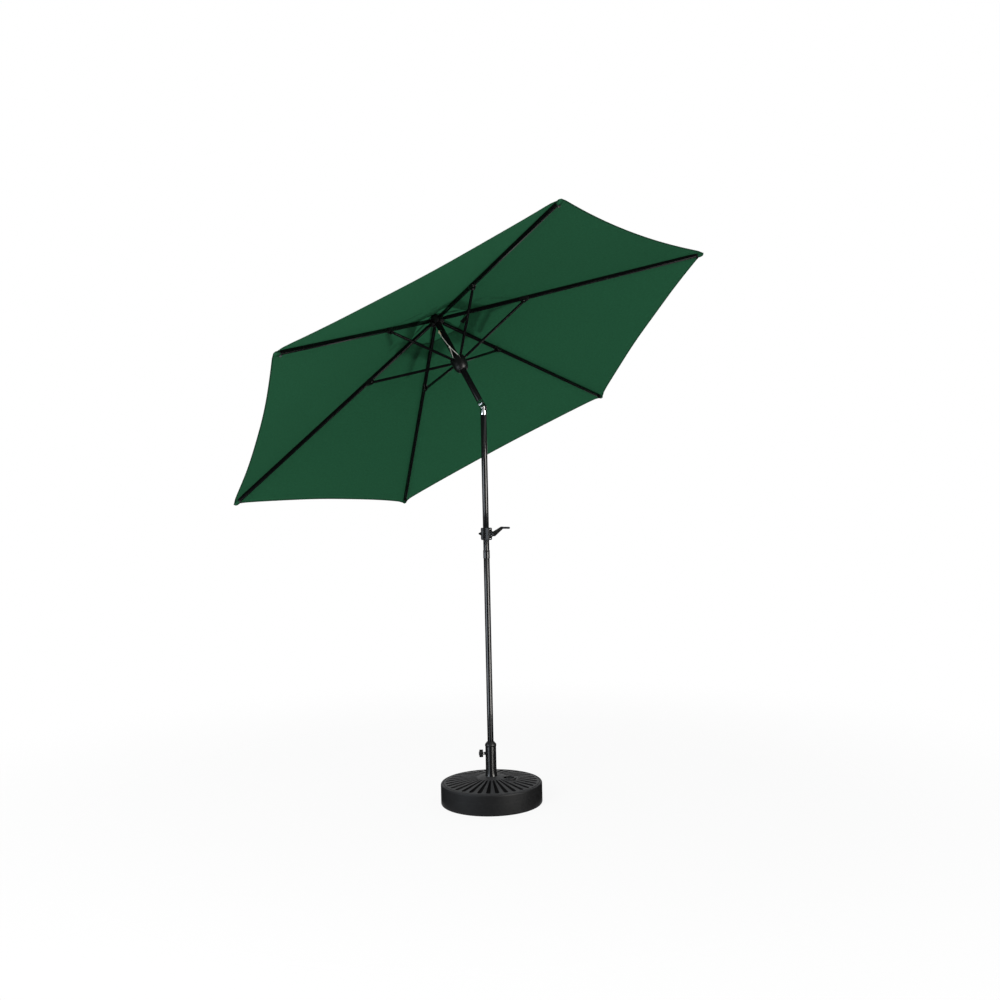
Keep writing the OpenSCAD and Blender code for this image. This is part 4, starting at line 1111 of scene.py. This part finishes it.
class UMBRELLA_OT_canopy(bpy.types.Operator):
    """Cuts and hangs the canopy: a sector of cloth over each rib, and its corner pockets"""

    bl_idname = "umbrella.canopy"
    bl_label = "Canopy"

    def execute(self, context):
        for k in range(1, RIB_COUNT + 1):
            canopy_sector(k)
            pocket = swept([section(*measures) for measures in POCKET], caps=(False, True))
            bmesh.ops.solidify(pocket, geom=pocket.faces[:], thickness=0.9 * MM)
            # the pocket counts as doubled cloth, so it gets the painted shade of double layers
            doubled = pocket.verts.layers.float.new("doubled")
            for v in pocket.verts:
                v[doubled] = 0.7
            clip = swept([section(*measures) for measures in CLIP])
            for name, bm, slot in (("corner_pocket", pocket, "cloth"),
                                   ("pocket_clip", clip, "fitting_black")):
                bmesh.ops.transform(bm, matrix=rib_frame(k), verts=bm.verts)
                add_piece(f"{name}_{k}", bm, f"rib_{k}", slot, (), 55)
        return {"FINISHED"}
class UMBRELLA_OT_vent_cap(bpy.types.Operator):
    """Hangs the vent cap over the middle of the canopy"""

    bl_idname = "umbrella.vent_cap"
    bl_label = "Vent cap"

    def execute(self, context):
        stitched = 1 - CAP_HEM
        rows = [-1.0] + [i / 14 for i in range(14)] + [stitched, 0.995, 1.0]
        columns = 145

        def turned(j):
            return 2 * math.pi * j / (columns - 1)

        def point(i, j):
            return cap_point(rows[i], turned(j)) + Vector((0, 0, CAP_LIFT))

        def extras(i, j):
            turn = turned(j)
            r = CAP_FLAT_R + (CAP_R - CAP_FLAT_R) * max(rows[i], 0.0)
            to_rib = min(turn % STEP, STEP - turn % STEP) * r
            doubled = float(rows[i] >= stitched - 1e-6 or to_rib < 4.5)
            stitch = float(abs(rows[i] - stitched) < 1e-6)
            return (turn * r * MM, r * MM), doubled, stitch, turn * CAP_R * MM, 0.0, 1.0

        piece, area = sheet_piece("vent_cap_cloth", point, extras, len(rows), columns,
                                  sizes().cloth, "mast", loop=True)
        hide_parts("vent_canopy")
        return {"FINISHED"}


# --------------------------------------------------------------------------
# Cord and strap


def smooth_path(points, steps):
    """A Catmull-Rom path through points."""
    ends = [2 * points[0] - points[1]] + list(points) + [2 * points[-1] - points[-2]]
    path = []
    for a, b, c, d in zip(ends, ends[1:], ends[2:], ends[3:]):
        for i in range(steps):
            t = i / steps
            path.append(0.5 * (2 * b + (c - a) * t + (2 * a - 5 * b + 4 * c - d) * t * t
                               + (3 * b - a - 3 * c + d) * t ** 3))
    return path + [points[-1]]


def cord_mesh(points, radius, steps=10, sides=12):
    """A closed tube through points on the mast's frame, in mm, with a UV map of its own."""
    path = smooth_path([MAST @ (p * MM) for p in points], steps)
    radius *= MM
    ways = [(path[min(i + 1, len(path) - 1)] - path[max(i - 1, 0)]).normalized()
            for i in range(len(path))]
    turn = Vector((0, 0, 1)).rotation_difference(ways[0])
    spokes = [turn @ Vector((math.cos(2 * math.pi * i / sides) * radius,
                             math.sin(2 * math.pi * i / sides) * radius, 0))
              for i in range(sides)]
    rings = []
    for n, middle in enumerate(path):
        bend = ways[max(n - 1, 0)].rotation_difference(ways[n])
        spokes = [bend @ s for s in spokes]
        rings.append([middle + s for s in spokes])
    return swept(rings)


class UMBRELLA_OT_cord(bpy.types.Operator):
    """Ties the lift cord from its pulley to the runner and hangs the tie strap"""

    bl_idname = "umbrella.cord"
    bl_label = "Cord and strap"

    def execute(self, context):
        cord_r = 1.4
        pulley = (ON_MAST @ joint_point("pulley_turn")) / MM
        pulley_az = math.atan2(pulley.y, pulley.x)
        pulley_l = pulley.z
        outer = math.hypot(pulley.x, pulley.y) + 8.5 + cord_r + 0.3
        knot_az = math.radians(290)
        knot_l = HUB_L / MM - 146
        runner_l = HUB_L / MM - 215.6
        start = about(outer, pulley_az, pulley_l)
        knot = about(18.5, knot_az, knot_l)
        bm = cord_mesh([start, start.lerp(knot, 0.33) + about(0.6, 4.6, 0),
                        start.lerp(knot, 0.66), knot], cord_r)
        foot_l = runner_l + 12 + cord_r + 0.3
        for side in (-1, 1):
            foot = about(18.4, knot_az + math.radians(18 + side * 50), foot_l)
            bow = knot.lerp(foot, 0.5) + about(1.4, knot_az, 0)
            join(bm, cord_mesh([knot, bow, foot], cord_r))
        coil = [knot + Vector((2.2 * math.cos(math.pi * i / 4), 2.2 * math.sin(math.pi * i / 4),
                               -2.4 + 0.2 * i)) for i in range(25)]
        join(bm, cord_mesh(coil, 1.2, 3))
        piece = add_piece("lift_cord_tied", bm, "mast", "cord", ["lift_cord_outer"], 60)
        piece.parent = None
        piece.matrix_world = Matrix.Identity(4)
        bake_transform(piece)

        strap = bmesh.new()
        bmesh.ops.create_grid(strap, x_segments=24, y_segments=8, size=1.0)
        place = (rib_frame(1) @ Matrix.Translation((116 * MM, (RIB_W / 2 + 0.35) * MM, 0))
                 @ Matrix.Rotation(math.radians(140), 4, "Y"))
        uv = strap.loops.layers.uv.new("UVMap")
        for face in strap.faces:
            for corner in face.loops:
                corner[uv].uv = (corner.vert.co.x * 25 * MM, corner.vert.co.y * 8.5 * MM)
        for v in strap.verts:
            t, w = (v.co.x + 1) / 2, (v.co.y + 1) / 2
            curl = 0.35 * math.sin(3.0 * t + 0.5) * (1 - 0.3 * w)
            v.co = Vector((50 * t, 0.25 + curl, 7.5 + 20 * (w - 0.5) * (0.2 + 0.8 * t))) * MM
        for v in thicken(strap):
            v.co.y += 1.0 * MM
        bmesh.ops.recalc_face_normals(strap, faces=strap.faces)
        bmesh.ops.transform(strap, matrix=place, verts=strap.verts)
        strap_piece = add_piece("tie_strap_webbing", strap, "rib_1", "webbing", ["tie_strap"], 50)
        return {"FINISHED"}


class UMBRELLA_OT_inner_parts(bpy.types.Operator):
    """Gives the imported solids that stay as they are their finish"""

    bl_idname = "umbrella.inner_parts"
    bl_label = "Inner parts"

    def execute(self, context):
        for name, node in frame["nodes"].items():
            if node.hide_render:
                continue
            node.data.materials.clear()
            node.data.materials.append(finish(SLOTS[name]))
        return {"FINISHED"}


# --------------------------------------------------------------------------
# Stage

CAMERA = {"azimuth": 38.003, "distance": 5.0191, "height": 1.3977, "yaw": 0.7111,
          "pitch": 1.2380, "roll": 1.2350, "lens": 42.59}


WORLD_LIGHT = 0.55
FLOOR_PAINT = 0.72
FLOOR_GLOW = 0.90
CARD_PAINT = (0.02, 0.02, 0.02, 1)


def add_light(name, az, up, distance, width, height, power, target_z):
    """A white area light round the object: az turns as the camera's azimuth does."""
    data = bpy.data.lights.new(name, "AREA")
    data.shape, data.size, data.size_y, data.energy = "RECTANGLE", width, height, power
    light = bpy.data.objects.new(name, data)
    bpy.context.scene.collection.objects.link(light)
    a, e = math.radians(az), math.radians(up)
    way = Vector((math.sin(a) * math.cos(e), -math.cos(a) * math.cos(e), math.sin(e)))
    light.location = Vector((0, 0, target_z)) + way * distance
    light.rotation_mode = "QUATERNION"
    light.rotation_quaternion = (-way).to_track_quat("-Z", "Y")
    light.visible_camera = light.visible_glossy = False


def gloss_card(name, profile, az, spread, colour=CARD_PAINT[:3], glow=0.0):
    """A card round the object that only its reflections see: dark, or one that glows."""
    bm = bmesh.new()
    verts, edges = ring_profile(bm, profile)
    start = math.radians(az - 90 - spread / 2)
    bmesh.ops.rotate(bm, verts=verts, matrix=Matrix.Rotation(start, 3, "Z"))
    bmesh.ops.spin(bm, geom=verts + edges, angle=math.radians(spread),
                   steps=max(8, spread // 5), use_merge=False, use_duplicate=False, **AXIS)
    card = add_object(name, bm)
    felt = Finish(name, 1.0)
    felt.set("Base Color", CARD_PAINT)
    felt.set("Emission Color", (*colour, 1))
    felt.set("Emission Strength", glow)
    card.data.materials.append(felt.material)
    card.visible_camera = card.visible_diffuse = card.visible_shadow = False
    card.visible_transmission = False


def seen_directly(nodes):
    """1 for rays that see the surroundings: the camera's, reflected and transmitted ones.

    Light scattered by cloth is diffuse as well as transmitted, and isn't one of them.
    """
    path = nodes.node("ShaderNodeLightPath").outputs
    total = path["Is Camera Ray"]
    for ray in ("Is Glossy Ray", "Is Transmission Ray"):
        total = nodes.math("MAXIMUM", total, path[ray])
    return nodes.math("SUBTRACT", total, path["Is Diffuse Ray"], clamp=True)


def add_camera(scene):
    yaw, pitch, roll = (math.radians(CAMERA[n]) for n in ("yaw", "pitch", "roll"))
    ahead = Vector((math.sin(yaw) * math.cos(pitch), math.cos(yaw) * math.cos(pitch),
                    -math.sin(pitch)))
    right = Vector((math.cos(yaw), -math.sin(yaw), 0))
    down = ahead.cross(right)
    right, down = (math.cos(roll) * right + math.sin(roll) * down,
                   -math.sin(roll) * right + math.cos(roll) * down)
    turn = Matrix.Rotation(math.radians(CAMERA["azimuth"]), 3, "Z")
    camera = bpy.data.objects.new("camera", bpy.data.cameras.new("camera"))
    camera.data.lens = CAMERA["lens"]
    camera.data.sensor_width = 36
    camera.data.clip_end = 60
    camera.location = turn @ Vector((0, -CAMERA["distance"], CAMERA["height"]))
    camera.rotation_mode = "QUATERNION"
    axes = Matrix([turn @ right, turn @ -down, turn @ -ahead]).transposed()
    camera.rotation_quaternion = axes.to_quaternion()
    scene.collection.objects.link(camera)
    scene.camera = camera


def add_surroundings(scene):
    scene.world = bpy.data.worlds.new("surroundings")
    scene.world.use_nodes = True
    nodes = Nodes(scene.world.node_tree)
    background = nodes.tree.nodes["Background"].inputs
    background["Color"].default_value = (1, 1, 1, 1)
    nodes.link(nodes.between(seen_directly(nodes), 0.0, 1.0, WORLD_LIGHT, 1.0),
               background["Strength"])


def add_floor():
    """A pale disc that shows the surroundings' white, keeps a shadow and fades at its rim."""
    bm = lathe([(0, -0.5), (600, -0.5), (1600, -0.5), (3400, -0.5)], 96)
    for face in bm.faces:
        if face.normal.z < 0:
            face.normal_flip()
    floor = add_object("floor", bm)
    f = Finish("floor", 0.9, specular=0.0)
    f.set("Base Color", (FLOOR_PAINT, FLOOR_PAINT, FLOOR_PAINT, 1))
    direct = f.math("MULTIPLY", seen_directly(f), FLOOR_GLOW)
    part = f.blend(direct, f.shader.outputs[0], f.read("Emission", "Emission"))
    reach = f.node("ShaderNodeVectorMath", operation="LENGTH")
    f.link(f.place, reach.inputs[0])
    rim = f.between(reach.outputs["Value"], 1.2, 3.2, kind="SMOOTHSTEP")
    f.surface(f.blend(rim, part, f.read("BsdfTransparent", "BSDF")))
    floor.data.materials.append(f.material)


class UMBRELLA_OT_stage(bpy.types.Operator):
    """Sets the camera, the lights, the white surroundings and the pale floor"""

    bl_idname = "umbrella.stage"
    bl_label = "Stage"

    def execute(self, context):
        add_camera(context.scene)
        add_surroundings(context.scene)
        azimuth = CAMERA["azimuth"]
        add_light("overhead", azimuth + 205, 60, 4.5, 3.2, 3.2, 30, 1.9)
        add_light("front", azimuth, 18, 5.0, 3.0, 2.4, 130, 1.5)
        add_light("left", azimuth - 30, 7, 5.0, 2.4, 2.4, 170, 1.9)
        cool, warm = (0.84, 0.92, 1.0), (1.0, 0.98, 0.93)
        near, far = [(0.8, 0.08), (0.8, 0.48)], [(3.6, 0.02), (3.6, 3.0)]
        foot, high = [(0.47, 0.003), (0.8, 0.003), (0.8, 0.07)], [(0.9, 1.42), (0.9, 1.68)]
        for name, profile, az, spread, colour, glow in (
                ("left_far", far, -56, 40, cool, 8.0), ("left_near", near, -56, 40, cool, 8.0),
                ("left_foot", foot, -44, 16, cool, 4.5),
                ("right_far", far, 46, 30, warm, 17.0), ("right_near", near, 46, 30, warm, 17.0),
                ("right_foot", foot, 33, 20, warm, 6.0),
                ("right_high", high, 46, 30, warm, 14.0)):
            gloss_card(name, profile, azimuth + az, spread, colour, glow)
        gloss_card("dark_walls", [(4.4, 0.0), (4.4, 3.6)], azimuth, 300)
        gloss_card("dark_floor", [(0.24, 0.001), (3.4, 0.001)], azimuth, 360)
        add_floor()
        context.scene.view_settings.view_transform = "Standard"
        return {"FINISHED"}


# --------------------------------------------------------------------------
# Panel and registration

OPERATORS = (
    UMBRELLA_OT_stage, UMBRELLA_OT_base, UMBRELLA_OT_stand, UMBRELLA_OT_pole,
    UMBRELLA_OT_crank, UMBRELLA_OT_tilt_joint, UMBRELLA_OT_mast, UMBRELLA_OT_runner,
    UMBRELLA_OT_ribs, UMBRELLA_OT_canopy, UMBRELLA_OT_vent_cap, UMBRELLA_OT_cord,
    UMBRELLA_OT_inner_parts,
)


class UMBRELLA_PT_panel(bpy.types.Panel):
    """Lists the umbrella's sizes, colours and pieces"""

    bl_idname = "UMBRELLA_PT_panel"
    bl_label = "Umbrella"
    bl_space_type = "VIEW_3D"
    bl_region_type = "UI"
    bl_category = "Umbrella"

    def draw(self, context):
        for group in (context.scene.umbrella_sizes, context.scene.umbrella_colours):
            for name in group.bl_rna.properties.keys():
                if name not in ("rna_type", "name"):
                    self.layout.prop(group, name)
        for operator in OPERATORS:
            self.layout.operator(operator.bl_idname)


CLASSES = (UmbrellaSizes, UmbrellaColours, *OPERATORS, UMBRELLA_PT_panel)


def register():
    for cls in CLASSES:
        bpy.utils.register_class(cls)
    bpy.types.Scene.umbrella_sizes = bpy.props.PointerProperty(type=UmbrellaSizes)
    bpy.types.Scene.umbrella_colours = bpy.props.PointerProperty(type=UmbrellaColours)


def unregister():
    del bpy.types.Scene.umbrella_colours
    del bpy.types.Scene.umbrella_sizes
    for cls in reversed(CLASSES):
        bpy.utils.unregister_class(cls)


def main():
    register()
    for operator in OPERATORS:
        group, name = operator.bl_idname.split(".")
        getattr(getattr(bpy.ops, group), name)()


if __name__ == "__main__":
    main()
